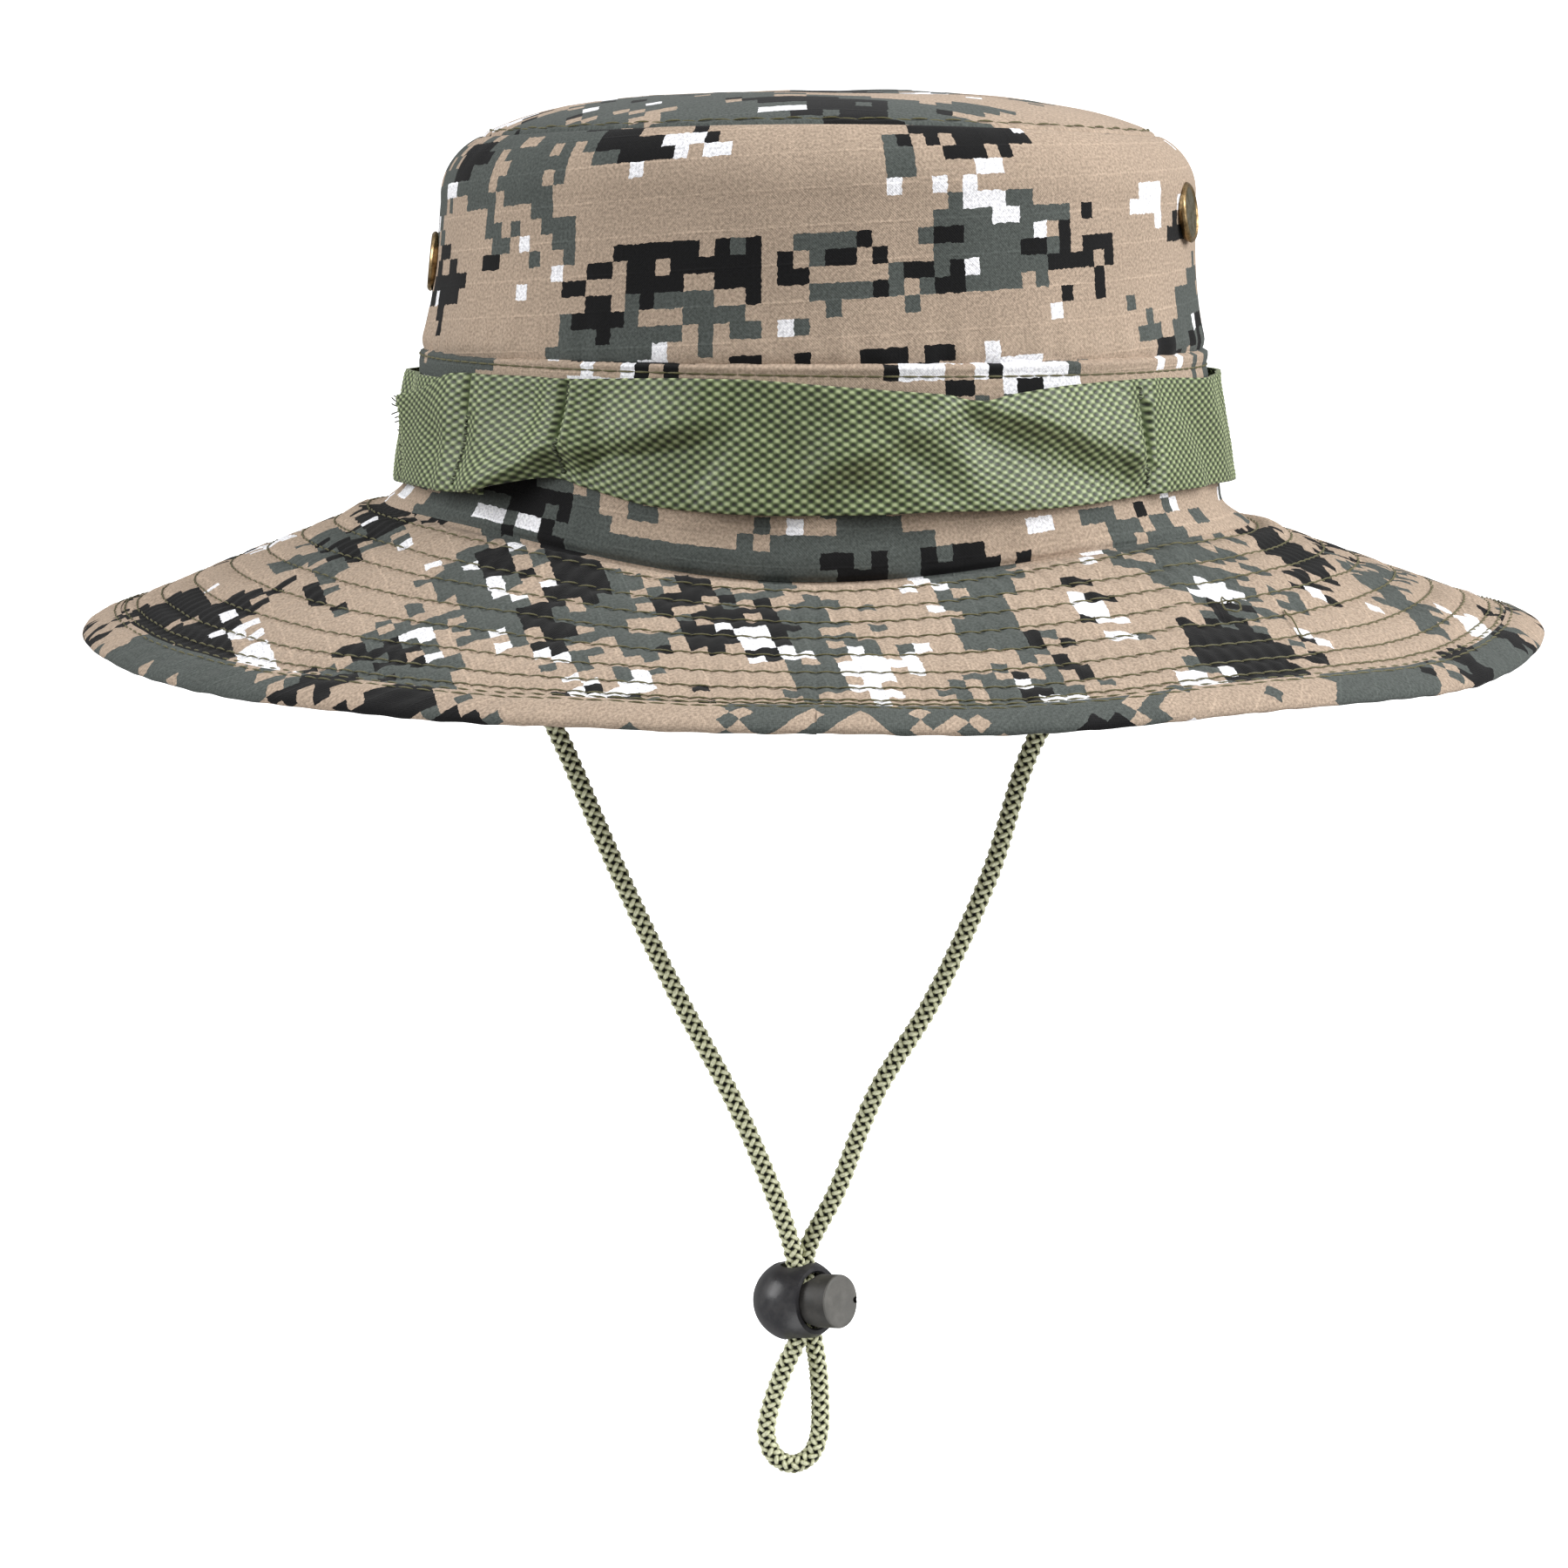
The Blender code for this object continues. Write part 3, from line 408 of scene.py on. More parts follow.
def metalMaterial(name, bright, dull, roughness, patchSize=0.0025):
    made, tree, shader = newMaterial(name, metallic=1.0)
    place = objectPlace(tree)
    worn = remap(tree, speckle(tree, place, 1 / patchSize, 5.0, Roughness=0.65), 0.4, 0.62)
    paint(tree, shader, mixColour(tree, worn, bright, dull))
    roughen(tree, shader, worn, 0.0, 1.0, roughness, roughness + 0.22)
    bump(tree, shader, speckle(tree, place, 2200.0, 3.0), 0.00004, 0.6)
    return made


brass = metalMaterial("agedBrass", srgb(186, 160, 118), srgb(110, 90, 62), 0.28)
snapFace = metalMaterial("dulledFace", srgb(138, 132, 112), srgb(92, 88, 70), 0.42)
steel = metalMaterial("springSteel", srgb(190, 192, 196), srgb(128, 130, 134), 0.22)


def plasticMaterial(name, colour, pale, roughness):
    made, tree, shader = newMaterial(name, roughness=roughness)
    place = objectPlace(tree)
    scuff = speckle(tree, place, 260.0, 4.0, Roughness=0.65)
    paint(tree, shader, mixColour(tree, remap(tree, scuff, 0.42, 0.72), colour, pale))
    roughen(tree, shader, scuff, 0.3, 0.7, roughness - 0.06, roughness + 0.1)
    bump(tree, shader, speckle(tree, place, 1700.0, 3.0), 0.00005, 0.5)
    return made


ballPlastic = plasticMaterial("ballPlastic", srgb(50, 50, 53), srgb(70, 69, 70), 0.32)
plungerPlastic = plasticMaterial("plungerPlastic", srgb(60, 59, 57), srgb(78, 76, 73), 0.5)
# painted light: a lighter copy of the plunger's plastic for its end face, which turns towards the lamps
litFacePainted = plasticMaterial("litFacePainted", srgb(98, 97, 93), srgb(116, 114, 110), 0.6)
print("materials ready")


# piece helpers


def addPiece(name, mesh):
    piece = bpy.data.objects.new(name, mesh)
    scene.collection.objects.link(piece)
    return piece


def newPiece(name, bm, *materials):
    mesh = bpy.data.meshes.new(name)
    bm.to_mesh(mesh)
    bm.free()
    mesh.shade_smooth()
    for material in materials:
        mesh.materials.append(material)
    return addPiece(name, mesh)


def clothGrid(columns, rows, place, printAt, weld=False):
    bm = bmesh.new()
    bmesh.ops.create_grid(bm, x_segments=columns, y_segments=rows, size=0.5)
    printed = bm.loops.layers.uv.new("print")
    for face in bm.faces:
        for loop in face.loops:
            spot = loop.vert.co
            loop[printed].uv = printAt(spot.x + 0.5, spot.y + 0.5)
    for vert in bm.verts:
        vert.co = place(vert.co.x + 0.5, vert.co.y + 0.5)
    if weld:
        bmesh.ops.remove_doubles(bm, verts=bm.verts, dist=1e-6)
    return bm


def thicken(piece, thickness, inside=0, offset=-1.0):
    step = piece.modifiers.new("cloth", "SOLIDIFY")
    step.thickness = thickness
    step.offset = offset
    step.material_offset = inside
    return piece


def sewStitches(name, spots, material, dip=0.0003):
    # each spot: middle, direction and length of the stitch, cloth normal, width, height
    # the ends dip into the cloth
    whole = bmesh.new()
    batch = bmesh.new()
    hold = bpy.data.meshes.new("hold")
    for i, (middle, along, up, width, height) in enumerate(spots):
        reach = along.normalized()
        side = up.cross(reach).normalized()
        lift = reach.cross(side)
        turn = Matrix((reach * along.length / 2, side * width / 2, lift * height / 2)).transposed().to_4x4()
        turn.translation = middle
        pole = Matrix.Rotation(math.pi / 2, 4, "Y")
        made = bmesh.ops.create_uvsphere(batch, u_segments=6, v_segments=6, radius=1.0, matrix=turn @ pole)
        for vert in made["verts"]:
            share = 2 * (vert.co - middle).dot(reach) / along.length
            vert.co -= lift * dip * share * share
        if i % 20 == 19 or i == len(spots) - 1:
            batch.to_mesh(hold)
            whole.from_mesh(hold)
            batch.clear()
    batch.free()
    bpy.data.meshes.remove(hold)
    return newPiece(name, whole, material)


def labelled(piece, slot, *nodes):
    if nodes:
        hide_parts(*nodes)
    return piece


def resting(piece, body, slot, *nodes):
    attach(piece, body)
    return labelled(piece, slot, *nodes)


def folding(piece, side, slot, *nodes):
    sign = -1 if side == "left" else 1
    seamZ = brimZ(hat["bendMiddle"], 0.0 if sign > 0 else math.pi)
    start, end = (sign * hat["bendStart"], 0.0, seamZ), (sign * hat["bendEnd"], 0.0, seamZ)
    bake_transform(piece)
    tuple(start)
    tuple(end)
    return labelled(piece, slot, *nodes)


# brim: quilted cloth over a stiffener, sewn in rings and bound at the edge

brim = {
    "rings": (0.1038, 0.1115, 0.1190, 0.1270, 0.1355, 0.1440, 0.1515, 0.1573),
    "stitch": 0.0045, "groove": 0.00060, "grooveWidth": 0.0016, "pucker": 0.00055, "puckerWidth": 0.0036,
    "puff": 0.00018, "outer": 0.1655, "around": 576, "across": 62, "underAcross": 44,
    "creaseX": 0.080, "creaseFrom": -0.125, "creaseTo": -0.052, "creaseHigh": 0.0008,
    "hang": ((-115.0, 18.0, 0.0010), (-77.0, 14.0, 0.0020), (-30.0, 14.0, 0.0014)),
    "thread": 0.00044, "slant": 0.00022, "wander": 0.00022, "threadLift": 0.00008,
    "seamDip": 0.0012, "seamRoll": 0.0006,
}


def stitchCount(radius):
    return 2 * round(math.pi * radius / brim["stitch"])


ringCounts = [stitchCount(ring) for ring in brim["rings"]]


def quilting(radius, angle):
    lift = brim["puff"]
    turned = (angle + math.pi / 2) / math.tau
    for ring, count in zip(brim["rings"], ringCounts):
        off = radius - ring
        if abs(off) < 0.009:
            arch = math.sin(math.pi * turned * count) ** 2
            lift -= brim["groove"] * hump(off, brim["grooveWidth"])
            lift += brim["pucker"] * (arch - 0.35) * hump(off, brim["puckerWidth"])
    return lift


def brimSwell(radius, angle):
    spot = polar(radius, angle, 0.0)
    swell = 0.0006 * ripple(spot, 0.045, 2.0) + 0.00022 * ripple(spot, 0.012, 5.0)
    length = ease((spot.y - brim["creaseFrom"]) / 0.02) * ease((brim["creaseTo"] - spot.y) / 0.015)
    swell += brim["creaseHigh"] * length * hump(spot.x - brim["creaseX"], 0.0028)
    turned = math.degrees(math.remainder(angle, math.tau))
    hang = sum(deep * hump(turned - deg, wide) for deg, wide, deep in brim["hang"])
    return swell * ease((radius - hat["bandBase"]) / 0.012) - hang * ease((radius - 0.112) / 0.05)


def brimTop(radius, angle):
    off = radius - seamRadius(angle)
    seam = brim["seamRoll"] * hump(off - 0.0050, 0.0026) - brim["seamDip"] * hump(off, 0.0019)
    return brimZ(radius, angle) + quilting(radius, angle) + brimSwell(radius, angle) + seam


def brimUnder(radius, angle):
    return brimZ(radius, angle) - hat["brimStack"] - quilting(radius, angle) + brimSwell(radius, angle)


def halfTurn(side, u, facing):
    # runs through half a turn on the wearer's side, so that faces look up or down as wanted
    start = -math.pi / 2 if side == "right" else math.pi / 2
    return start + math.pi * ((1 - u) if facing > 0 else u)


def brimPly(side, facing):
    rows = brim["across"] if facing > 0 else brim["underAcross"]
    height = brimTop if facing > 0 else brimUnder
    low, high = hat["brimInner"], brim["outer"]

    def spot(u, v):
        return halfTurn(side, u, facing), low + (high - low) * v

    def place(u, v):
        angle, radius = spot(u, v)
        return polar(radius, angle, height(radius, angle))

    def printAt(u, v):
        angle, radius = spot(u, v)
        return radius * math.cos(angle), radius * math.sin(angle) * 1.03

    return clothGrid(brim["around"], rows, place, printAt)


# binding: a bias strip folded round the edge, with drag lines along it
binding = {
    "inside": 0.1611, "cloth": 0.0007, "rows": 24, "drag": 0.00030, "dragStep": 0.0105, "dragSlant": 0.013,
    "groove": 0.00045, "swellTo": 0.165, "spare": 0.0003,
    "rowTop": 0.1624, "rowInner": 0.1601, "nose": 0.0028, "width": 0.0192, "pinch": 0.0024, "droop": 0.0009,
}


def bindingSpot(t, angle):
    # t runs from the upper inner edge round the brim's edge to the lower one
    stack = hat["brimStack"]
    over = binding["cloth"] + binding["spare"]
    under = -stack - binding["cloth"] - binding["spare"]
    inside, outside = binding["inside"], hat["brimEdge"]
    nose, bulge = binding["nose"], (over - under - binding["pinch"]) / 2
    flat = outside - nose - inside
    turn = binding["width"] - 2 * flat
    run = t * binding["width"]
    middle = over - bulge
    a = min(math.pi, max(0.0, math.pi * (run - flat) / turn))
    radius, depth, edge = outside - nose + nose * math.sin(a), middle + bulge * math.cos(a), math.cos(a)
    if run < flat:
        radius = inside + run
    elif run > flat + turn:
        radius = inside + binding["width"] - run
        depth -= binding["pinch"] * (1 - (radius - inside) / flat)
    along = angle * outside
    drift = 2.5 * ripple((along, run, 0), 0.03, 4)
    wave = math.sin(math.tau * (along / binding["dragStep"] + run / binding["dragSlant"]) + drift)
    strength = 0.6 + 0.6 * ripple((along, 0, run), 0.02, 8)
    swell = binding["drag"] * wave * ease(run / 0.004) * strength * edge**2
    seam = -binding["groove"] * hump(run - (binding["rowTop"] - inside), 0.0012)
    inward = -0.0004 * ease(1 - run / 0.0012)
    push = swell + seam + inward
    shift = edge * push
    radius += push * (1 - abs(edge))
    shift -= binding["droop"] * ease((radius - inside) / 0.008)
    z = brimZ(radius, angle) + depth + shift + brimSwell(min(radius, binding["swellTo"]), angle)
    return polar(radius, angle, z)


def bindingStrip(side):
    def place(u, v):
        return bindingSpot(v, halfTurn(side, u, 1))

    def printAt(u, v):
        turned = halfTurn(side, u, 1) - (math.tau if side == "left" else 0.0)
        return turned * hat["brimEdge"], v * binding["width"]

    return clothGrid(brim["around"], binding["rows"], place, printAt)


def ringStitches(side, radius, height, facing):
    count = stitchCount(radius)
    spots = []
    start = -math.pi / 2 if side == "right" else math.pi / 2
    for i in range(count // 2):
        a = start + math.tau * (i + 0.5) / count
        half = math.pi / count
        middle = polar(radius, a, height(radius, a))
        ends = [polar(radius + turn * brim["slant"], a + turn * half, height(radius, a)) for turn in (-1, 1)]
        up = (Vector((0, 0, 1)) + polar(0.25, a, 0)) * facing
        wander = brim["wander"] * ripple(middle, 0.004, radius * 900)
        middle += polar(wander, a, 0) + Vector((0, 0, brim["threadLift"] * facing))
        along = (ends[1] - ends[0]) * (1.14 + 0.06 * ripple(middle, 0.003, 3))
        spots.append((middle, along, up, brim["thread"], brim["thread"]))
    return spots


def bindingTop(radius, angle):
    return brimZ(radius, angle) + binding["cloth"] - 0.0002 + brimSwell(radius, angle)


def bindingUnder(radius, angle):
    return brimZ(radius, angle) - hat["brimStack"] - binding["cloth"] + 0.0004 + brimSwell(radius, angle)


def makeBrim():
    for side, other in (("left", "front"), ("right", "back")):
        label = side.capitalize()
        top = newPiece("brimTop" + label, brimPly(side, 1), brimPrint)
        folding(top, side, "camo_cloth", f"brim_top_ply_{side}_flap", f"brim_top_ply_{other}",
                f"brim_interlining_{side}_flap", f"brim_interlining_{other}")
        under = newPiece("brimUnder" + label, brimPly(side, -1), underPrint)
        folding(under, side, "camo_cloth", f"brim_under_ply_{side}_flap", f"brim_under_ply_{other}")
        strip = newPiece("brimBinding" + label, bindingStrip(side), bindPrint)
        folding(strip, side, "binding_cloth", f"brim_binding_{side}_flap", f"brim_binding_{other}")
        spots = []
        for ring in (*brim["rings"], binding["rowInner"]):
            spots += ringStitches(side, ring, brimTop, 1)
        spots += ringStitches(side, binding["rowTop"], bindingTop, 1)
        folding(sewStitches("brimThread" + label, spots, seamThread), side, "thread")
        spots = []
        for ring in brim["rings"]:
            spots += ringStitches(side, ring, brimUnder, -1)
        spots += ringStitches(side, binding["rowTop"], bindingUnder, -1)
        folding(sewStitches("brimUnderThread" + label, spots, seamThread), side, "thread")
    print("brim sewn")


makeBrim()


# crown: tip, wall panels and lower band

crown = {
    "around": 250, "wallRows": 60, "tipRings": 50, "bandRows": 46,
    "swell": 0.0013, "swellSize": 0.036, "seamPucker": 0.00026, "puckerStep": 0.0092,
    "tucked": ((0.0892, 0.0370), (0.0897, 0.0384), (0.0903, 0.0397), (0.0907, 0.0408), (0.0910, 0.0424)),
    "rolled": ((0.0004, 0.0002), (0.0007, 0.0009), (0.0009, 0.0019)),
    "shoulderTurn": 60.0, "fuller": 0.0004, "rimOver": 0.0003, "rimUnder": 0.0004, "lean": 0.0014,
    "slim": 0.0009, "tipRow": 0.0763, "foldRow": 0.0386, "foldWander": 0.0012, "bandTopZ": 0.0400,
    "stitch": 0.0040, "threadWide": 0.00050, "threadHigh": 0.00046, "seamRoll": 0.0006, "thick": 0.0011,
    "wallFiner": 1.35, "tipFiner": 1.6, "wallFlat": 0.0925, "bandFlat": (0.0955, 0.0465),
    "flareHigh": 0.013, "flareHighSide": 0.0065,
}


def tipZ(share):
    return hat["tipTopZ"] - (hat["tipTopZ"] - hat["tipEdgeZ"]) * share ** hat["tipFlatness"]


def wallLine():
    line = list(crown["tucked"])
    low, lowZ = line[-1]
    for i in range(1, 13):
        t = i / 12
        line.append((low + (hat["shoulder"] - low) * t, lowZ + (hat["shoulderZ"] - lowZ) * t))
    rim = hat["tipRadius"] + crown["rimOver"]
    rise = tipZ(1.0) - crown["rimUnder"] - hat["shoulderZ"]
    last = math.radians(crown["shoulderTurn"])
    for i in range(1, 13):
        turn = last * i / 12
        inward = (1 - math.cos(turn)) / (1 - math.cos(last))
        upward = math.sin(turn) / math.sin(last)
        full = crown["fuller"] * math.sin(math.pi * i / 12)
        radius = hat["shoulder"] + (rim - hat["shoulder"]) * inward + full * math.cos(turn)
        line.append((radius, hat["shoulderZ"] + rise * upward + full * math.sin(turn)))
    line += [(rim - inward, hat["shoulderZ"] + rise - down) for inward, down in crown["rolled"]]
    runs = [0.0]
    for a, b in zip(line, line[1:]):
        runs.append(runs[-1] + math.dist(a, b))
    return line, runs


wallShape = wallLine()


def alongLine(shape, share):
    line, runs = shape
    want = share * runs[-1]
    k = next(i for i in range(len(runs) - 1) if runs[i + 1] >= want - 1e-12)
    t = (want - runs[k]) / (runs[k + 1] - runs[k])
    return [p + (q - p) * t for p, q in zip(line[k], line[k + 1])], want


def crownLean(z):
    return Vector((crown["lean"] * ease((z - hat["foldZ"]) / 0.05), 0.0, 0.0))


def crownSlim(z):
    return crown["slim"] * hump(z - 0.058, 0.016) * ease((z - hat["foldZ"]) / 0.006)


def wallSpot(share, angle):
    (radius, z), run = alongLine(wallShape, share)
    spot = polar(0.09, angle, z)
    total = wallShape[1][-1]
    tall = Vector((spot.x, spot.y, 0.55 * z))
    swell = crown["swell"] * ripple(tall, crown["swellSize"], 1.0) + 0.0004 * ripple(tall, 0.013, 6.0)
    swell *= ease(run / 0.006) * ease((total - run) / 0.006)
    low, high = hump(run - 0.006, 0.006), hump(total - run, 0.010)
    wave = math.sin(angle * 0.09 * math.tau / crown["puckerStep"] + 3 * ripple(spot, 0.02, 9.0))
    swell += crown["seamPucker"] * wave * (low + high)
    sideSeam = hump(math.sin(angle) * 0.09, 0.0014)
    radius += swell - 0.0006 * sideSeam - crownSlim(z)
    return polar(radius, angle, z + rimLift(z, angle)) + crownLean(z)


def tipSpot(share, angle):
    dome = tipZ(share)
    flat = polar(hat["tipRadius"] * share, angle, 0.0)
    z = dome + share**2 * rimLift(dome, angle)
    z += (0.0011 * ripple(flat, 0.040, 3.0) + 0.0003 * ripple(flat, 0.013, 7.0)) * (1 - share**6)
    wave = math.sin(angle * 0.078 * math.tau / crown["puckerStep"] + 3 * ripple(flat, 0.02, 11.0))
    edge = hump((1 - share) * hat["tipRadius"], 0.0045)
    z += 0.0002 * wave * edge - 0.0002 * hump(hat["tipRadius"] * share - crown["tipRow"], 0.0009)
    z -= 0.0011 * ease((share - 0.985) / 0.015)
    return Vector((flat.x, flat.y, z)) + crownLean(dome)


def bandFoot(angle):
    reach = crown["flareHigh"] + (crown["flareHighSide"] - crown["flareHigh"]) * math.cos(angle) ** 2
    return brimZ(seamRadius(angle), angle) - 0.0002, seamFlare(angle), reach


def foldRowZ(angle):
    # the topstitching wanders away from the seam towards the right
    return crown["foldRow"] - crown["foldWander"] * (1 + math.cos(angle))


def bandSpot(share, angle):
    foot, flare, reach = bandFoot(angle)
    z = foot + (crown["bandTopZ"] - foot) * share
    rise = z - foot
    spot = polar(0.095, angle, z)
    radius = bandRadius(z) + flare * max(0.0, 1 - rise / reach) ** 2
    roll = math.sin(angle) ** 2
    radius += roll * 0.0009 * hump(rise - 0.0045, 0.0034) - 0.0011 * ease(1 - rise / 0.0014)
    below = crown["bandTopZ"] - z
    radius += crown["seamRoll"] * ease(1 - below / 0.006) - 0.0015 * ease(1 - below / 0.0009)
    radius -= 0.0004 * hump(z - foldRowZ(angle), 0.0011)
    wave = math.sin(angle * 0.0955 * math.tau / 0.0115 + 3 * ripple(spot, 0.02, 13.0))
    radius += (0.0004 * ripple(spot, 0.03, 4.0) + 0.00022 * wave * hump(rise, 0.012)) * ease(rise / 0.003)
    return polar(radius, angle, z)


def finer(v, power):
    # rows of the grid closer together towards the crown's seam
    return 1 - (1 - v) ** power


def halfAngle(front, u):
    return (-math.pi if front else 0.0) + math.pi * u


def rowStitches(start, stop, radius, surface, outward=True, lift=0.00012):
    count = max(2, round(abs(stop - start) * radius / crown["stitch"]))
    spots = []
    for i in range(count):
        a = start + (stop - start) * (i + 0.5) / count
        nudge = (stop - start) / count / 2
        first, last, middle = surface(a - nudge), surface(a + nudge), surface(a)
        up = polar(1.0, a, 0.0) if outward else Vector((0, 0, 1))
        along = (last - first) * (1.06 + 0.1 * ripple(middle, 0.003, 2))
        spots.append((middle + up * lift, along, up, crown["threadWide"], crown["threadHigh"]))
    return spots


def makeCrown():
    total = wallShape[1][-1]
    for front in (True, False):
        name = "Front" if front else "Back"
        node = name.lower()
        wall = clothGrid(
            crown["around"], crown["wallRows"],
            lambda u, v: wallSpot(finer(v, crown["wallFiner"]), halfAngle(front, u)),
            lambda u, v: (halfAngle(front, u) * 0.0905, finer(v, crown["wallFiner"]) * total))
        wall = thicken(newPiece("crownWall" + name, wall, crownPrint, reversePrint), crown["thick"], 1)
        resting(wall, "hat", "camo_cloth", "crown_wall_" + node)
        band = clothGrid(
            crown["around"], crown["bandRows"],
            lambda u, v: bandSpot(ease(v), halfAngle(front, u)),
            lambda u, v: (halfAngle(front, u) * 0.094, ease(v) * 0.046))
        band = thicken(newPiece("crownBand" + name, band, bandPrint, reversePrint), crown["thick"], 1)
        resting(band, "hat", "camo_cloth", "crown_band_" + node)
    tip = clothGrid(
        crown["around"], crown["tipRings"],
        lambda u, v: tipSpot(finer(v, crown["tipFiner"]), -math.tau * u),
        lambda u, v: polar(hat["tipRadius"] * finer(v, crown["tipFiner"]), -math.tau * u, 0.0).xy,
        weld=True)
    tip = thicken(newPiece("crownTip", tip, tipPrint, reversePrint), crown["thick"], 1)
    resting(tip, "hat", "camo_cloth", "crown_tip")
    tipShare = crown["tipRow"] / hat["tipRadius"]

    def onBand(height):
        def spot(a):
            foot = bandFoot(a)[0]
            return bandSpot((height(a) - foot) / (crown["bandTopZ"] - foot), a)
        return spot

    def onTip(a):
        return tipSpot(tipShare, a)

    spots = rowStitches(0.0, math.tau, crown["tipRow"], onTip, outward=False, lift=0.00022)
    spots += rowStitches(0.0, math.tau, hat["bandTop"], onBand(foldRowZ))
    resting(sewStitches("crownThread", spots, seamThread, dip=0.00016), "hat", "thread")
    print("crown sewn")


makeCrown()


# sweatband inside the head opening

sweatband = {
    "topZ": 0.027, "hang": 0.006, "thick": 0.0011, "cloth": 0.0009, "around": 260, "rows": 22,
    "rowShares": (0.09, 0.92), "flat": (0.0365, 0.0925),
}


def sweatRadius(z):
    return min(hat["brimInner"] - 0.0003, bandRadius(z) - hat["cloth"] - 0.0006)


def sweatSpot(share, angle):
    low = brimZ(hat["brimInner"], angle) - sweatband["hang"]
    z = low + (sweatband["topZ"] - low) * share
    spot = polar(0.09, angle, z)
    inner = sweatRadius(z) - sweatband["thick"]
    inner -= 0.0005 * (0.5 + 0.5 * ripple(spot, 0.018, 5.0)) * ease(share / 0.2)
    inner += 0.0004 * (hump(z - low - 0.003, 0.0012) + hump(sweatband["topZ"] - z - 0.003, 0.0012))
    return polar(inner, angle, z)


def makeSweatband():
    cloth = clothGrid(
        sweatband["around"], sweatband["rows"],
        lambda u, v: sweatSpot(v, -math.tau * u),
        lambda u, v: (u * math.tau * 0.092, v * 0.036), weld=True)
    piece = thicken(newPiece("sweatbandCloth", cloth, sweatCloth), sweatband["cloth"])
    resting(piece, "hat", "sweatband_cloth", "sweatband")
    spots = []
    for share in sweatband["rowShares"]:
        for middle, along, up, wide, high in rowStitches(0.0, math.tau, 0.092, lambda a: sweatSpot(share, a)):
            spots.append((middle - 2 * up * 0.00012, along, -up, wide, high))
    resting(sewStitches("sweatbandThread", spots, seamThread), "hat", "thread")
    print("sweatband in")


makeSweatband()


# webbing round the crown, puckered between its tacks, its cut end fraying on the left

webbing = {
    "height": 0.025, "lowZ": 0.0095, "thick": 0.0014, "standoff": 0.0004, "pucker": 0.0009,
    "startDeg": -140.0, "lapDeg": 25.0, "riseDeg": 12.0, "radius": 0.0965,
    "tackDeg": (-39.0, 24.0, 87.0, 150.0, -144.0, -126.0), "tackStitches": 30,
    "fold": 0.0034, "foldSize": 0.026, "lip": 0.0026, "turnedIn": 0.0010, "levelDeg": 15.0,
    # the tape's edges across the front: angle in degrees and height
    "lowEdge": ((-165.0, 0.0107), (-145.8, 0.0098), (-138.8, 0.0104), (-132.8, 0.0132), (-127.3, 0.0145),
                (-122.4, 0.0123), (-114.0, 0.0090), (-107.7, 0.0078), (-95.0, 0.0070), (-82.5, 0.0072),
                (-73.7, 0.0078), (-61.3, 0.0076), (-53.7, 0.0079), (-43.0, 0.0090), (-33.7, 0.0097),
                (-18.5, 0.0098)),
    "highEdge": ((-165.0, 0.0299), (-155.3, 0.0323), (-149.0, 0.0363), (-138.7, 0.0363), (-126.3, 0.0360),
                 (-108.3, 0.0368), (-97.7, 0.0365), (-90.0, 0.0355), (-76.9, 0.0339), (-70.5, 0.0331),
                 (-68.1, 0.0309), (-64.6, 0.0327), (-55.4, 0.0345), (-40.7, 0.0352), (-30.3, 0.0349),
                 (-18.4, 0.0341)),
    # folds across the front: each a line of angle and share of the height, and how far it stands out
    "ridges": (
        (((-142.0, -0.08), (-134.0, 0.08), (-127.0, 0.33), (-122.0, 0.38), (-115.0, 0.50), (-107.0, 0.68),
          (-100.0, 0.82)), 0.0030),
        (((-93.0, 0.26), (-84.0, 0.48), (-76.0, 0.72), (-68.5, 0.96)), 0.0024),
        (((-71.0, 1.02), (-68.0, 0.95), (-60.0, 0.78), (-52.6, 0.60), (-42.7, 0.37), (-37.0, 0.26)), 0.0030)),
    "above": 0.0085, "below": 0.0036,
    # creases pulled in by the tacks: angle, share of the height from and to, depth, lean
    "creases": ((-126.0, 0.40, 0.97, 0.0024, 0.0), (-144.0, 0.66, 1.02, 0.0020, 0.0),
                (-39.0, 0.24, 0.82, 0.0019, 1.3)),
}


def tackGap(angleDeg):
    # share of the way from one tack to the next, and how far apart they are
    tacks = sorted(deg % 360 for deg in webbing["tackDeg"])
    angleDeg %= 360
    after = next((deg for deg in tacks if deg >= angleDeg), tacks[0] + 360)
    before = max((deg for deg in tacks if deg <= angleDeg), default=tacks[-1] - 360)
    if after <= before:
        return 0.0, 0.0
    return (angleDeg - before) / (after - before), after - before


def webbingFace(turned, z):
    share = (webbing["lowZ"] + webbing["height"] - z) / webbing["height"]
    t, _ = tackGap(webbing["startDeg"] - turned)
    bow = webbing["pucker"] * math.sin(math.pi * t) ** 2 * (0.5 + 0.5 * share)
    rise = ease((turned - 360 + webbing["riseDeg"]) / webbing["riseDeg"])
    return bandRadius(z) + webbing["standoff"] + bow + (webbing["thick"] + webbing["standoff"]) * rise


def degreesApart(a, b):
    return (a - b + 180) % 360 - 180


@lru_cache(maxsize=None)
def tapeEdge(turned, name):
    # the table's straight lines, evened out over a few degrees; level round the back
    line = webbing[name]
    deg = webbing["startDeg"] + 360 - turned
    height = 0.0
    for k in range(-2, 3):
        at = min(max(deg + 1.1 * k, line[0][0]), line[-1][0])
        (a, low), (b, high) = next(pair for pair in zip(line, line[1:]) if at <= pair[1][0])
        height += (low + (high - low) * (at - a) / (b - a)) / 5
    level = webbing["lowZ"] + (webbing["height"] if name == "highEdge" else 0.0)
    return height + (level - height) * ease((deg - line[-1][0]) / webbing["levelDeg"])


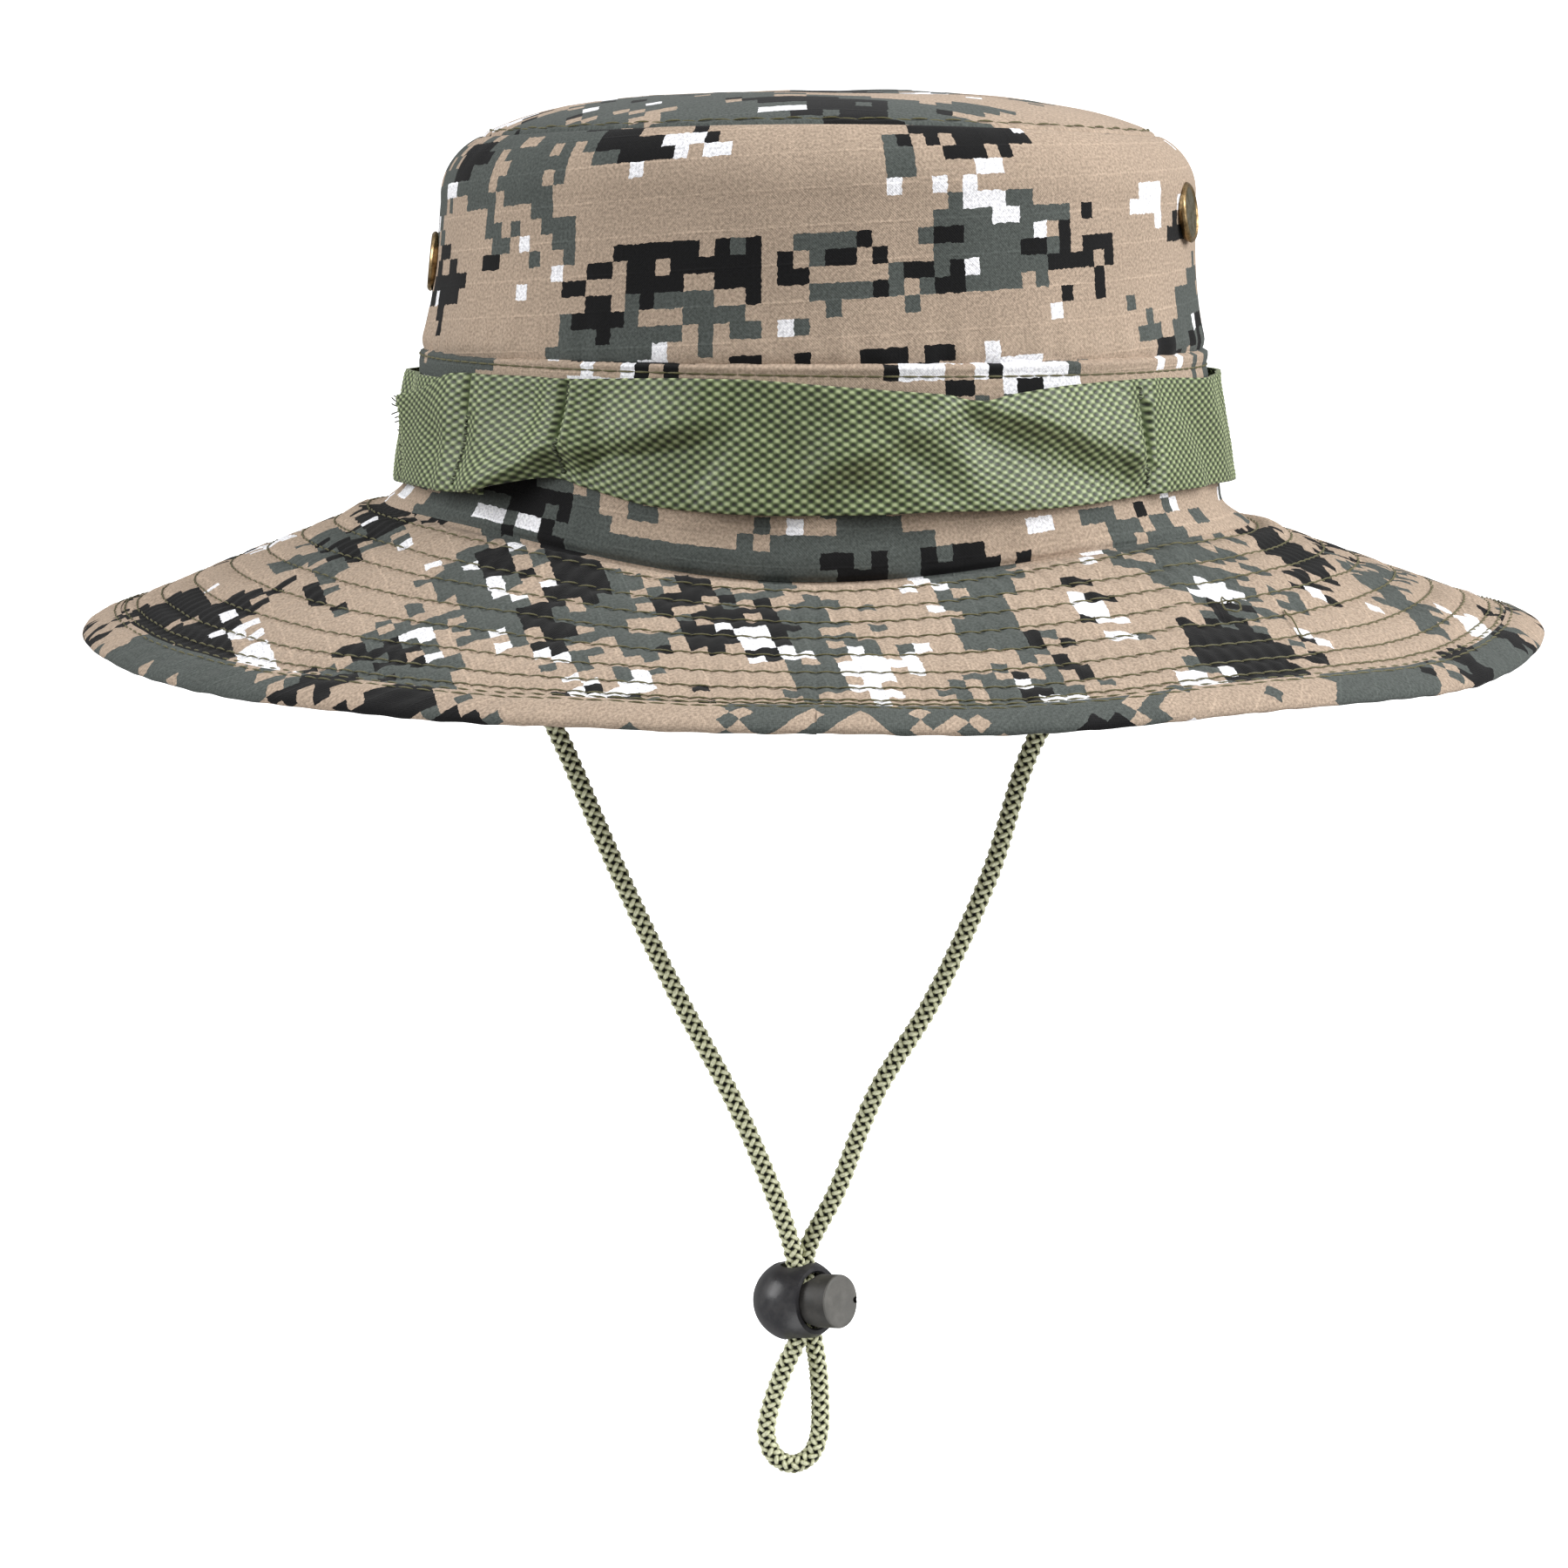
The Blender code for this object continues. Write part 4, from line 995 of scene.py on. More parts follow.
def ridgeBulge(angleDeg, share):
    deg = degreesApart(angleDeg, 0.0)
    bulge = 0.0
    for line, high in webbing["ridges"]:
        if not line[0][0] < deg < line[-1][0]:
            continue
        (a, low), (b, top) = next(pair for pair in zip(line, line[1:]) if deg <= pair[1][0])
        off = (share - low - (top - low) * (deg - a) / (b - a)) * webbing["height"]
        shape = hump(off, webbing["above"])
        if off < 0:
            below = webbing["below"]
            shape = hump(off, below) - 0.5 * hump(off + 2.2 * below, 1.4 * below)
        bulge += high * shape * ease((deg - line[0][0]) / 6) * ease((line[-1][0] - deg) / 6)
    return bulge


def webbingSpot(turned, share):
    total = 360 + webbing["lapDeg"]
    ragged = ease((turned - total + 2.5) / 2.5)
    low, high = tapeEdge(turned, "lowEdge"), tapeEdge(turned, "highEdge")
    z = low + (high - low) * share
    along = math.radians(turned) * webbing["radius"]
    turned -= 1.6 * ragged * (0.5 + 0.5 * ripple((z, 0.0, 0.0), 0.0013, 2.0))
    angleDeg = webbing["startDeg"] - turned
    radius = webbingFace(turned, z) + webbing["thick"]
    t, span = tackGap(angleDeg)
    near = min(t, 1 - t) * math.radians(span) * webbing["radius"]
    free = ease(near / 0.012) * ease((turned - 20) / 20)
    slant = along - 0.6 * (z - webbing["lowZ"])
    folds = ripple((slant, 0.5 * z, 0.0), webbing["foldSize"], 3.0)
    folds += 0.35 * ripple((slant, z, 0.0), 0.011, 8.0)
    radius += webbing["fold"] * folds * free
    radius += 0.0013 * hump(near - 0.0055, 0.0034)
    over = ease((turned - 200) / 20)
    radius += over * ridgeBulge(angleDeg, share)
    dip = over * hump(degreesApart(angleDeg, -68.0), 4.5) * ease((share - 0.5) / 0.45)
    lip = over * hump(degreesApart(angleDeg, -143.0), 9.0) * ease((0.45 - share) / 0.45)
    end = ease((turned - total + 11) / 11) * ease((share - 0.35) / 0.6)
    radius += 0.0010 * dip + webbing["lip"] * lip + 0.0018 * end
    for deg, first, last, depth, lean in webbing["creases"]:
        apart = degreesApart(angleDeg, deg) - lean * (share - 0.5)
        off = math.radians(apart) * webbing["radius"]
        if abs(off) < 0.01:
            held = over * ease((share - first) / 0.08 + 0.5) * ease((last - share) / 0.06 + 0.5)
            radius += depth * held * (0.5 * hump(off - 0.0024, 0.0014) - hump(off, 0.0010))
    return polar(max(radius, bandRadius(z) + 0.0008), math.radians(angleDeg), z)


def makeWebbing():
    total = 360 + webbing["lapDeg"]
    length = math.radians(total) * webbing["radius"]
    columns = round(2 * length / weave["wide"])
    rows = round(2 * webbing["height"] / weave["high"])

    def place(u, v):
        spot = webbingSpot(u * total, v)
        i, j = round(u * columns), round(v * rows)
        knot = math.cos(math.pi * i / 2) * math.cos(math.pi * j / 2)
        out = Vector((spot.x, spot.y, 0)).normalized()
        edge = ease(min(v, 1 - v) * rows / 2.5)
        return spot + out * weave["raise"] * (knot * edge - 0.5 * (1 - edge))

    def printAt(u, v):
        return u * columns * weave["wide"] / 2, v * rows * weave["high"] / 2

    bm = clothGrid(columns, rows, place, printAt)
    bmesh.ops.reverse_faces(bm, faces=bm.faces)
    rim = [edge for edge in bm.edges if edge.is_boundary]
    made = bmesh.ops.extrude_edge_only(bm, edges=rim)["geom"]
    for vert in (item for item in made if isinstance(item, bmesh.types.BMVert)):
        vert.co -= Vector((vert.co.x, vert.co.y, 0)).normalized() * webbing["turnedIn"]
    piece = newPiece("webbingTape", bm, webbingWeave)
    resting(piece, "hat", "webbing", "webbing_band")
    spots = []
    for deg in webbing["tackDeg"]:
        turned = (webbing["startDeg"] - deg) % 360
        turned += 360 if turned < webbing["lapDeg"] else 0
        for i in range(webbing["tackStitches"]):
            share = 0.06 + 0.88 * (i + 0.5) / webbing["tackStitches"]
            middle = webbingSpot(turned, share)
            sideways = webbingSpot(turned + 0.5, share) - webbingSpot(turned - 0.5, share)
            along = sideways.normalized() * 0.0019 + Vector((0, 0, 0.0006 if i % 2 else -0.0006))
            up = Vector((middle.x, middle.y, 0)).normalized()
            spots.append((middle + up * 0.0002, along, up, 0.00056, 0.0005))
    tacks = sewStitches("tackStitches", spots, tackThread)
    resting(tacks, "hat", "thread", *[f"bartack_{i + 1}" for i in range(len(webbing["tackDeg"]))])
    print("webbing on")
    return total


webbingTotal = makeWebbing()


def threadCurve(name, lines, thick, material):
    curve = bpy.data.curves.new(name, "CURVE")
    curve.dimensions = "3D"
    curve.bevel_depth = thick / 2
    curve.bevel_resolution = 1
    curve.use_fill_caps = True
    for line in lines:
        spline = curve.splines.new("POLY")
        spline.points.add(len(line) - 1)
        for spot, point in zip(spline.points, line):
            spot.co = (*point, 1.0)
    source = bpy.data.objects.new(name + "Line", curve)
    scene.collection.objects.link(source)
    bpy.context.view_layer.update()
    mesh = bpy.data.meshes.new_from_object(source.evaluated_get(bpy.context.evaluated_depsgraph_get()))
    mesh.name = name
    bpy.data.objects.remove(source)
    bpy.data.curves.remove(curve)
    mesh.materials.clear()
    mesh.materials.append(material)
    mesh.shade_smooth()
    return addPiece(name, mesh)


# loose ends: the webbing's frayed yarns, a loop and a stub of thread on the brim

fray = {"yarns": 18, "length": 0.0028, "thick": 0.00030, "looseThick": 0.0004}


def makeLooseThreads():
    random.seed(7)
    lines = []
    for i in range(fray["yarns"]):
        share = (i + 0.5) / fray["yarns"]
        root = webbingSpot(webbingTotal - 0.3, share)
        out = Vector((root.x, root.y, 0)).normalized()
        way = (webbingSpot(webbingTotal, share) - webbingSpot(webbingTotal - 1, share)).normalized()
        length = fray["length"] * random.uniform(0.35, 1.0)
        swing = out * random.uniform(-0.1, 0.55) + Vector((0, 0, random.uniform(-0.45, 0.45)))
        line = []
        for k in range(5):
            t = k / 4
            line.append(root + way * length * t + swing * length * t * t - out * 0.0004 * (1 - t))
        lines.append(line)
    resting(threadCurve("webbingFray", lines, fray["thick"], tackThread), "hat", "thread")

    def onBrim(x, y, lift):
        radius, angle = math.hypot(x, y), math.atan2(y, x)
        return Vector((x, y, brimTop(radius, angle) + lift))

    loop = []
    for k in range(25):
        turn = math.tau * k / 24
        x = 0.0905 + 0.0024 * math.sin(turn) + 0.0010 * k / 24
        y = -0.0905 - 0.0130 * (1 - math.cos(turn)) / 2
        loop.append(onBrim(x, y, 0.0003 + 0.0034 * math.sin(turn / 2)))
    stub = [onBrim(0.1035 + 0.0006 * k, -0.086 - 0.0028 * k, 0.0003 + 0.0008 * math.sin(k / 5 * math.pi))
            for k in range(6)]
    loose = threadCurve("brimLooseThread", [loop, stub], fray["looseThick"], seamThread)
    folding(loose, "right", "thread")
    print("loose threads laid")


makeLooseThreads()


# brass snaps, turned from their sections

snaps = {
    "steps": 56, "post": 0.0018, "plate": 0.0012, "gap": 0.0003,
    "crown": {"radius": 0.007, "high": 0.0012, "rim": 0.0011, "recess": 0.0004, "back": 0.006,
              "deg": {"right": -16.0, "left": -178.0}, "z": {"right": 0.0725, "left": 0.0605}},
    "brim": {"radius": 0.0053, "high": 0.002, "mouth": 0.0022, "cap": 0.0055, "from": 0.0148,
             "deg": {"right": 19.0, "left": 156.0}},
}


def frameOn(place, normal):
    turn = Vector((0, 0, 1)).rotation_difference(normal).to_matrix().to_4x4()
    return Matrix.Translation(place) @ turn


def turnedForm(profile, steps, rounding=0.0):
    bm = bmesh.new()
    verts = [bm.verts.new((radius, 0.0, z)) for radius, z in profile]
    for pair in zip(verts, verts[1:]):
        bm.edges.new(pair)
    if rounding:
        inner = [v for v in verts if v.co.x > 1e-6]
        bmesh.ops.bevel(bm, geom=inner, offset=rounding, offset_type="OFFSET", segments=3, profile=0.5,
                        affect="VERTICES", material=-1, clamp_overlap=True)
    bmesh.ops.spin(bm, geom=bm.verts[:] + bm.edges[:], cent=(0, 0, 0), axis=(0, 0, 1), dvec=(0, 0, 0),
                   angle=math.tau, steps=steps, use_merge=True, use_duplicate=False)
    bmesh.ops.remove_doubles(bm, verts=bm.verts, dist=1e-7)
    bmesh.ops.recalc_face_normals(bm, faces=bm.faces)
    return bm


def turnedPiece(name, profile, place, materials, faceWithin=None, rounding=0.00012):
    bm = turnedForm(profile, snaps["steps"], rounding)
    if faceWithin:
        top = max(v.co.z for v in bm.verts)
        for face in bm.faces:
            middle = face.calc_center_median()
            if math.hypot(middle.x, middle.y) < faceWithin and middle.z > top / 2:
                face.material_index = 1
    bmesh.ops.transform(bm, matrix=place, verts=bm.verts)
    return newPiece(name, bm, *materials)


def makeSnaps():
    gap, plate = snaps["gap"], snaps["plate"]
    c = snaps["crown"]
    for side, deg in c["deg"].items():
        a, z = math.radians(deg), c["z"][side]
        slope = math.atan2(hat["bandTop"] - hat["shoulder"], hat["shoulderZ"] - hat["foldZ"])
        share = (z - hat["foldZ"]) / (hat["shoulderZ"] - hat["foldZ"])
        radius = hat["bandTop"] + (hat["shoulder"] - hat["bandTop"]) * share - crownSlim(z)
        spot = polar(radius, a, z + rimLift(z, a)) + crownLean(z)
        place = frameOn(spot, polar(math.cos(slope), a, math.sin(slope)))
        face, floor = gap + c["high"], gap + c["high"] - c["recess"]
        inside = c["radius"] - c["rim"]
        head = turnedPiece("crownSnap" + side.capitalize(), (
            (0.0, -0.0012), (snaps["post"], -0.0012), (snaps["post"], -0.0004),
            (c["radius"] - 0.0006, -0.0004), (c["radius"], gap + 0.0004),
            (c["radius"] - 0.0003, face - 0.0003), (c["radius"] - 0.0008, face),
            (inside + 0.0002, face - 0.0001), (inside - 0.0001, floor), (inside * 0.5, floor + 0.0001),
            (0.0, floor + 0.00015)), place, (brass, snapFace), faceWithin=inside - 0.0002)
        resting(head, "hat", "brass", "crown_snap_" + side)
        low = -0.0012 - 0.0006
        back = turnedPiece("crownSnapBack" + side.capitalize(), (
            (0.0, low), (c["back"] - 0.0002, low), (c["back"], low - plate * 0.4),
            (c["back"] - 0.0007, low - plate), (0.0032, low - plate), (0.0026, low - plate * 0.6),
            (0.0, low - plate * 0.55)), place, (brass,))
        resting(back, "hat", "brass", "crown_snap_back_" + side)
    b = snaps["brim"]
    stack = hat["brimStack"]
    for side, deg in b["deg"].items():
        a, r = math.radians(deg), hat["brimEdge"] - b["from"]
        spot = polar(r, a, brimZ(r, a))
        nudge = snaps["post"] / r
        out = polar(r + snaps["post"], a, brimZ(r + snaps["post"], a)) - spot
        around = polar(r, a + nudge, brimZ(r, a + nudge)) - spot
        place = frameOn(spot, out.cross(around).normalized())
        face, floor = gap + b["high"], gap + plate / 2
        socket = turnedPiece("brimSocket" + side.capitalize(), (
            (0.0, -stack), (snaps["post"], -stack), (snaps["post"], 0.0), (b["radius"] - 0.0002, 0.0),
            (b["radius"], floor), ((b["radius"] + b["mouth"]) / 2 + 0.0004, face - 0.0005),
            ((b["radius"] + b["mouth"]) / 2, face), (b["mouth"] + 0.0002, face), (b["mouth"], face - 0.0003),
            (b["mouth"], floor), (0.0, floor)), place, (brass,))
        resting(socket, side + "_flap", "brass", "brim_snap_socket_" + side)
        low = -stack - gap
        cap = turnedPiece("brimCap" + side.capitalize(), (
            (0.0, low), (b["cap"], low), (b["cap"], low - plate * 0.35),
            (b["cap"] - 0.0006, low - plate * 0.8), (b["cap"] - 0.002, low - plate),
            (0.0, low - plate * 1.02)), place, (brass,))
        resting(cap, side + "_flap", "brass", "brim_snap_cap_" + side)
    print("snaps set")


makeSnaps()


# chin cord: close to the route of its solids, braided from eight yarns over a core; the yarn colour paints
# shade dark on the core and between the yarns

cord = {
    # how far the bend between two bodies runs past the tapes, the lock and the loop
    "legAbove": 0.020, "legBelow": 0.005, "loopEnd": -0.2376,
    "diameter": 0.0045, "step": 0.00045, "yarn": 0.00064, "helix": 0.00148, "wave": 0.00032,
    "pitch": 0.0094, "core": 0.00128, "strandGap": 0.0004, "depthShade": (0.00140, 0.00225),
    "left": ((-0.0710, 0.0, -0.0310), (-0.0598, 0.0, -0.0507), (-0.0467, 0.0, -0.0812),
             (-0.0330, 0.0, -0.1105), (-0.0190, -0.0006, -0.1370), (-0.0095, -0.0012, -0.1590)),
    "right": ((0.0660, 0.0, -0.0310), (0.0515, 0.0, -0.0535), (0.0416, 0.0, -0.0840),
              (0.0284, 0.0005, -0.1135), (0.0150, 0.0012, -0.1360), (0.0060, 0.0019, -0.1590)),
    "loop": ((-0.0068, -0.0016, -0.2017), (-0.0099, -0.0010, -0.2107), (-0.0110, -0.0004, -0.2175),
             (-0.0092, 0.0, -0.2228), (-0.0049, 0.0003, -0.2251), (-0.0005, 0.0006, -0.2230),
             (0.0015, 0.0010, -0.2180), (0.0018, 0.0014, -0.2107), (0.0012, 0.0018, -0.2017)),
    "top": (0.08066, 0.0, -0.01526),
}

# cord lock: a ball with a sprung plunger across it
lock = {
    "hole": (-0.0022, 0.0, -0.1855), "turnDeg": -38.5, "tiltDeg": 5.0, "halfLength": 0.0105,
    "halfWide": 0.0103, "halfHeight": 0.0089, "dome": 0.0099, "holeOffset": 0.002, "clearance": 0.00035,
    "mouth": 0.0062, "run": 0.011, "plunger": 0.00635, "face": 0.0134, "travel": 0.0032, "heel": 0.0016,
    "pocket": 0.0042, "pocketDeep": 0.0026, "gap": 0.0003, "looser": 0.0014, "steps": 56, "nick": 0.0008,
    "springRadius": 0.0033, "springWire": 0.0006, "springTurns": 4, "springSteps": 20,
}


def lockFrame():
    turn = Matrix.Rotation(math.radians(lock["turnDeg"]), 4, "Z")
    turn = turn @ Matrix.Rotation(-math.radians(lock["tiltDeg"]), 4, "Y")
    return Matrix.Translation(Vector(lock["hole"]) - turn @ Vector((lock["holeOffset"], 0, 0))) @ turn


def inLock(sign, height):
    strand = cord["diameter"] / 2 + cord["strandGap"] / 2
    return lockFrame() @ Vector((lock["holeOffset"], sign * strand, height))


def smoothLine(route, step):
    route = [Vector(point) for point in route]
    ends = [2 * route[0] - route[1], *route, 2 * route[-1] - route[-2]]
    fine = []
    for a, b, c, d in zip(ends, ends[1:], ends[2:], ends[3:]):
        for t in (i / 24 for i in range(24)):
            bend = (2 * a - 5 * b + 4 * c - d) * t**2 + (3 * b - a - 3 * c + d) * t**3
            fine.append(b + 0.5 * ((c - a) * t + bend))
    fine.append(route[-1])
    runs = [0.0]
    for p, q in zip(fine, fine[1:]):
        runs.append(runs[-1] + (q - p).length)
    count = max(2, round(runs[-1] / step))
    points, k = [], 0
    for i in range(count + 1):
        at = runs[-1] * i / count
        while k < len(runs) - 2 and runs[k + 1] < at:
            k += 1
        points.append(fine[k].lerp(fine[k + 1], (at - runs[k]) / (runs[k + 1] - runs[k])))
    return points, runs[-1]


def carriedFrames(points):
    # a side vector carried along the line without twist
    ways = [(b - a).normalized() for a, b in zip(points, points[1:])]
    ways.append(ways[-1])
    side = ways[0].cross(Vector((0, 1, 0))).normalized()
    made = []
    for way in ways:
        side = (side - way * side.dot(way)).normalized()
        made.append((side, way.cross(side)))
    return made


def braid(name, points, length):
    frames = carriedFrames(points)
    lines = []
    for hand in (1, -1):
        for strand in range(4):
            line = []
            for i, (point, (side, across)) in enumerate(zip(points, frames)):
                run = length * i / (len(points) - 1)
                turn = math.tau * (strand / 4 + hand * run / cord["pitch"])
                reach = cord["helix"] + hand * cord["wave"] * math.cos(8 * math.pi * run / cord["pitch"])
                line.append(point + (side * math.cos(turn) + across * math.sin(turn)) * reach)
            lines.append(line)
    yarns = threadCurve(name, lines, 2 * cord["yarn"], cordYarn)
    core = threadCurve(name + "Core", [points[::3] + points[-1:]], 2 * cord["core"], cordYarn)
    bm = bmesh.new()
    bm.from_mesh(yarns.data)
    bm.from_mesh(core.data)
    bpy.data.objects.remove(core)
    bm.to_mesh(yarns.data)
    bm.free()
    yarns.data.shade_smooth()
    tree = kdtree.KDTree(len(points))
    for i, point in enumerate(points):
        tree.insert(point, i)
    tree.balance()
    # painted shade: each vertex's distance from the cord's middle line, which the yarn material turns dark
    # deep down and pale on the crests
    low, high = cord["depthShade"]
    depthShade = yarns.data.attributes.new("depthShade", "FLOAT", "POINT")
    depthShade.data.foreach_set("value", [(tree.find(v.co)[2] - low) / (high - low) for v in yarns.data.vertices])
    return yarns


def declareCord(piece, node):
    labelled(piece, "cord", node)


def makeCord():
    gap = lock["gap"]
    lengths = []
    for side, sign in (("left", -1), ("right", 1)):
        top = (sign * cord["top"][0], cord["top"][1], cord["top"][2])
        route = [top, *cord[side], inLock(sign, lock["run"]), inLock(sign, gap / 2)]
        points, length = smoothLine(route, cord["step"])
        piece = braid("cordLeg" + side.capitalize(), points, length)
        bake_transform(piece)
        declareCord(piece, "cord_leg_" + side)
        lengths.append(length)
    exits = [inLock(sign, -0.7 * lock["run"]) for sign in (-1, 1)]
    route = [inLock(-1, -gap / 2), exits[0], *cord["loop"], exits[1], inLock(1, -gap / 2)]
    points, length = smoothLine(route, cord["step"])
    piece = braid("cordLoop", points, length)
    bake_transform(piece)
    declareCord(piece, "cord_loop")
    print("cord braided, mm:", [round(1000 * x) for x in (*lengths, length)])


makeCord()


def slotForm(near, far, halfWide, reach):
    # a block with round upright corners, cut out of the lock along the cord
    bm = bmesh.new()
    bmesh.ops.create_cube(bm, size=1.0)
    size = Matrix.Diagonal((far - near, 2 * halfWide, 2 * reach, 1.0))
    bmesh.ops.transform(bm, matrix=Matrix.Translation(((near + far) / 2, 0, 0)) @ size, verts=bm.verts)
    upright = [e for e in bm.edges if abs(e.verts[0].co.z - e.verts[1].co.z) > reach]
    bmesh.ops.bevel(bm, geom=upright, offset=(far - near) * 0.499, offset_type="OFFSET", segments=8,
                    profile=0.5, affect="EDGES", material=-1, clamp_overlap=True)
    return bm


def carve(bm, *tools):
    # boolean cuts, done on a spare object and given back as one mesh
    body = newPiece("carveBody", bm)
    spare = []
    for i, tool in enumerate(tools):
        cutter = newPiece(f"carveTool{i}", tool)
        step = body.modifiers.new(f"cut{i}", "BOOLEAN")
        step.operation, step.solver, step.object = "DIFFERENCE", "EXACT", cutter
        spare.append(cutter)
    bpy.context.view_layer.update()
    mesh = bpy.data.meshes.new_from_object(body.evaluated_get(bpy.context.evaluated_depsgraph_get()))
    for old in (body, *spare):
        data = old.data
        bpy.data.objects.remove(old)
        bpy.data.meshes.remove(data)
    return mesh


def lockPiece(name, mesh, materials, body, slot, node, place, faceAt=None, sharpDeg=32.0):
    mesh.name = name
    mesh.materials.clear()
    for material in materials:
        mesh.materials.append(material)
    if faceAt:
        for polygon in mesh.polygons:
            polygon.material_index = 1 if polygon.center.x > faceAt else 0
    mesh.transform(place)
    mesh.shade_smooth()
    mesh.set_sharp_from_angle(angle=math.radians(sharpDeg))
    return resting(addPiece(name, mesh), body, slot, node)


def makeLock():
    place = lockFrame()
    along = Matrix.Rotation(math.pi / 2, 4, "Y")
    strand = cord["diameter"] / 2 + cord["strandGap"] / 2
    half = cord["diameter"] / 2 + lock["clearance"]
    near, far = lock["holeOffset"] - half, lock["holeOffset"] + half
    heel = near - lock["heel"]
    bore = lock["plunger"] + lock["gap"]
    boreEnd = heel - lock["travel"] - lock["gap"]
    pocketEnd = boreEnd - lock["pocketDeep"]
    clear = 2 * lock["halfLength"]
    ball = bmesh.new()
    bmesh.ops.create_uvsphere(ball, u_segments=lock["steps"], v_segments=40, radius=1.0)
    size = Matrix.Diagonal((lock["halfLength"], lock["halfWide"], lock["dome"], 1.0))
    bmesh.ops.transform(ball, matrix=size @ along, verts=ball.verts)
    for vert in ball.verts:
        vert.co.z = max(-lock["halfHeight"], min(lock["halfHeight"], vert.co.z))
    mouth = lock["mouth"]
    core = turnedForm((
        (0.0, clear), (clear, clear), (clear, mouth), (bore + 0.0004, mouth), (bore, mouth - 0.0004),
        (bore, boreEnd), (lock["pocket"], boreEnd), (lock["pocket"], pocketEnd), (0.0, pocketEnd)),
        lock["steps"])
    bmesh.ops.transform(core, matrix=along, verts=core.verts)
    mesh = carve(ball, core, slotForm(near - lock["looser"], far, strand + half, clear))
    lockPiece("lockBall", mesh, (ballPlastic,), "cord_lock", "lock_plastic", "cord_lock_body", place)
    face, stem = lock["face"], lock["plunger"]
    rod = turnedForm((
        (0.0, face - 0.0001), (0.0048, face - 0.0001), (0.0052, face), (stem - 0.0005, face),
        (stem - 0.00015, face - 0.00015), (stem, face - 0.0005), (stem, heel), (0.0, heel)), lock["steps"])
    bmesh.ops.transform(rod, matrix=along, verts=rod.verts)
    nick = bmesh.new()
    bmesh.ops.create_cone(nick, cap_ends=True, segments=20, radius1=lock["nick"], radius2=lock["nick"],
                          depth=0.003)
    nickPlace = Matrix.Translation((face, stem * 0.86, -0.0004)) @ along
    bmesh.ops.transform(nick, matrix=nickPlace, verts=nick.verts)
    mesh = carve(rod, slotForm(near, far + lock["travel"], strand + half, clear), nick)
    # the end face takes the lighter plastic, as painted light
    lockPiece("lockPlunger", mesh, (plungerPlastic, litFacePainted), "lock_plunger", "plunger_plastic",
              "cord_lock_plunger", place, faceAt=face - 0.00042)
    margin = lock["gap"] + lock["springWire"] / 2
    low, high = pocketEnd + margin, heel - margin
    curl = []
    count = lock["springSteps"] * lock["springTurns"]
    for i in range(count + 1):
        turn = math.tau * lock["springTurns"] * i / count
        across = lock["springRadius"] * Vector((0, math.cos(turn), math.sin(turn)))
        curl.append(place @ (Vector((low + (high - low) * i / count, 0, 0)) + across))
    spring = threadCurve("lockSpring", [curl], lock["springWire"], steel)
    # the spring's two ends on the plunger's axis; the real spring shortens between them as the plunger is
    # pressed
    start, end = place @ Vector((low, 0, 0)), place @ Vector((high, 0, 0))
    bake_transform(spring)
    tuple(start)
    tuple(end)
    labelled(spring, "spring_steel", "cord_lock_spring")
    print("lock made")


makeLock()


# tapes inside the sweatband that hold the cord's ends

tab = {
    "width": 0.009, "thick": 0.0014, "narrow": 0.45, "step": 0.0008, "bendFrom": -0.006, "bendTo": -0.0136,
    "line": ((0.09037, 0.009), (0.0914, 0.0), (0.0914, -0.005), (0.0825, -0.0135), (0.0804, -0.0155)),
}


def makeTabs():
    line = [Vector((x, 0, z)) for x, z in tab["line"]]
    points, length = smoothLine(line, tab["step"])
    spots = []
    for side, sign in (("left", -1), ("right", 1)):
        def place(u, v):
            point = points[round(v * (len(points) - 1))]
            wide = tab["width"] * (1 - tab["narrow"] * ease((v - 0.62) / 0.38))
            return Vector((sign * point.x, (u - 0.5) * wide, point.z))

        cloth = clothGrid(14, len(points) - 1, place, lambda u, v: (u * tab["width"], v * length))
        piece = thicken(newPiece("cordTape" + side.capitalize(), cloth, tabTape), tab["thick"], offset=0.0)
        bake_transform(piece)
        labelled(piece, "sweatband_cloth", "cord_tab_" + side)
        for v in (0.12, 0.3):
            for i in range(4):
                u = 0.14 + 0.24 * i
                middle = place(u, v)
                along = Vector((0, 0.0019, 0))
                up = Vector((-sign, 0, 0))
                spots.append((middle + up * 0.0009, along, up, 0.0005, 0.00045))
    resting(sewStitches("tapeStitches", spots, seamThread), "hat", "thread")
    print("cord tapes sewn in")


makeTabs()


# stage, light and camera

stage = {"floorZ": -0.232, "radius": 5.0, "bend": 0.9, "high": 4.0, "steps": 72}


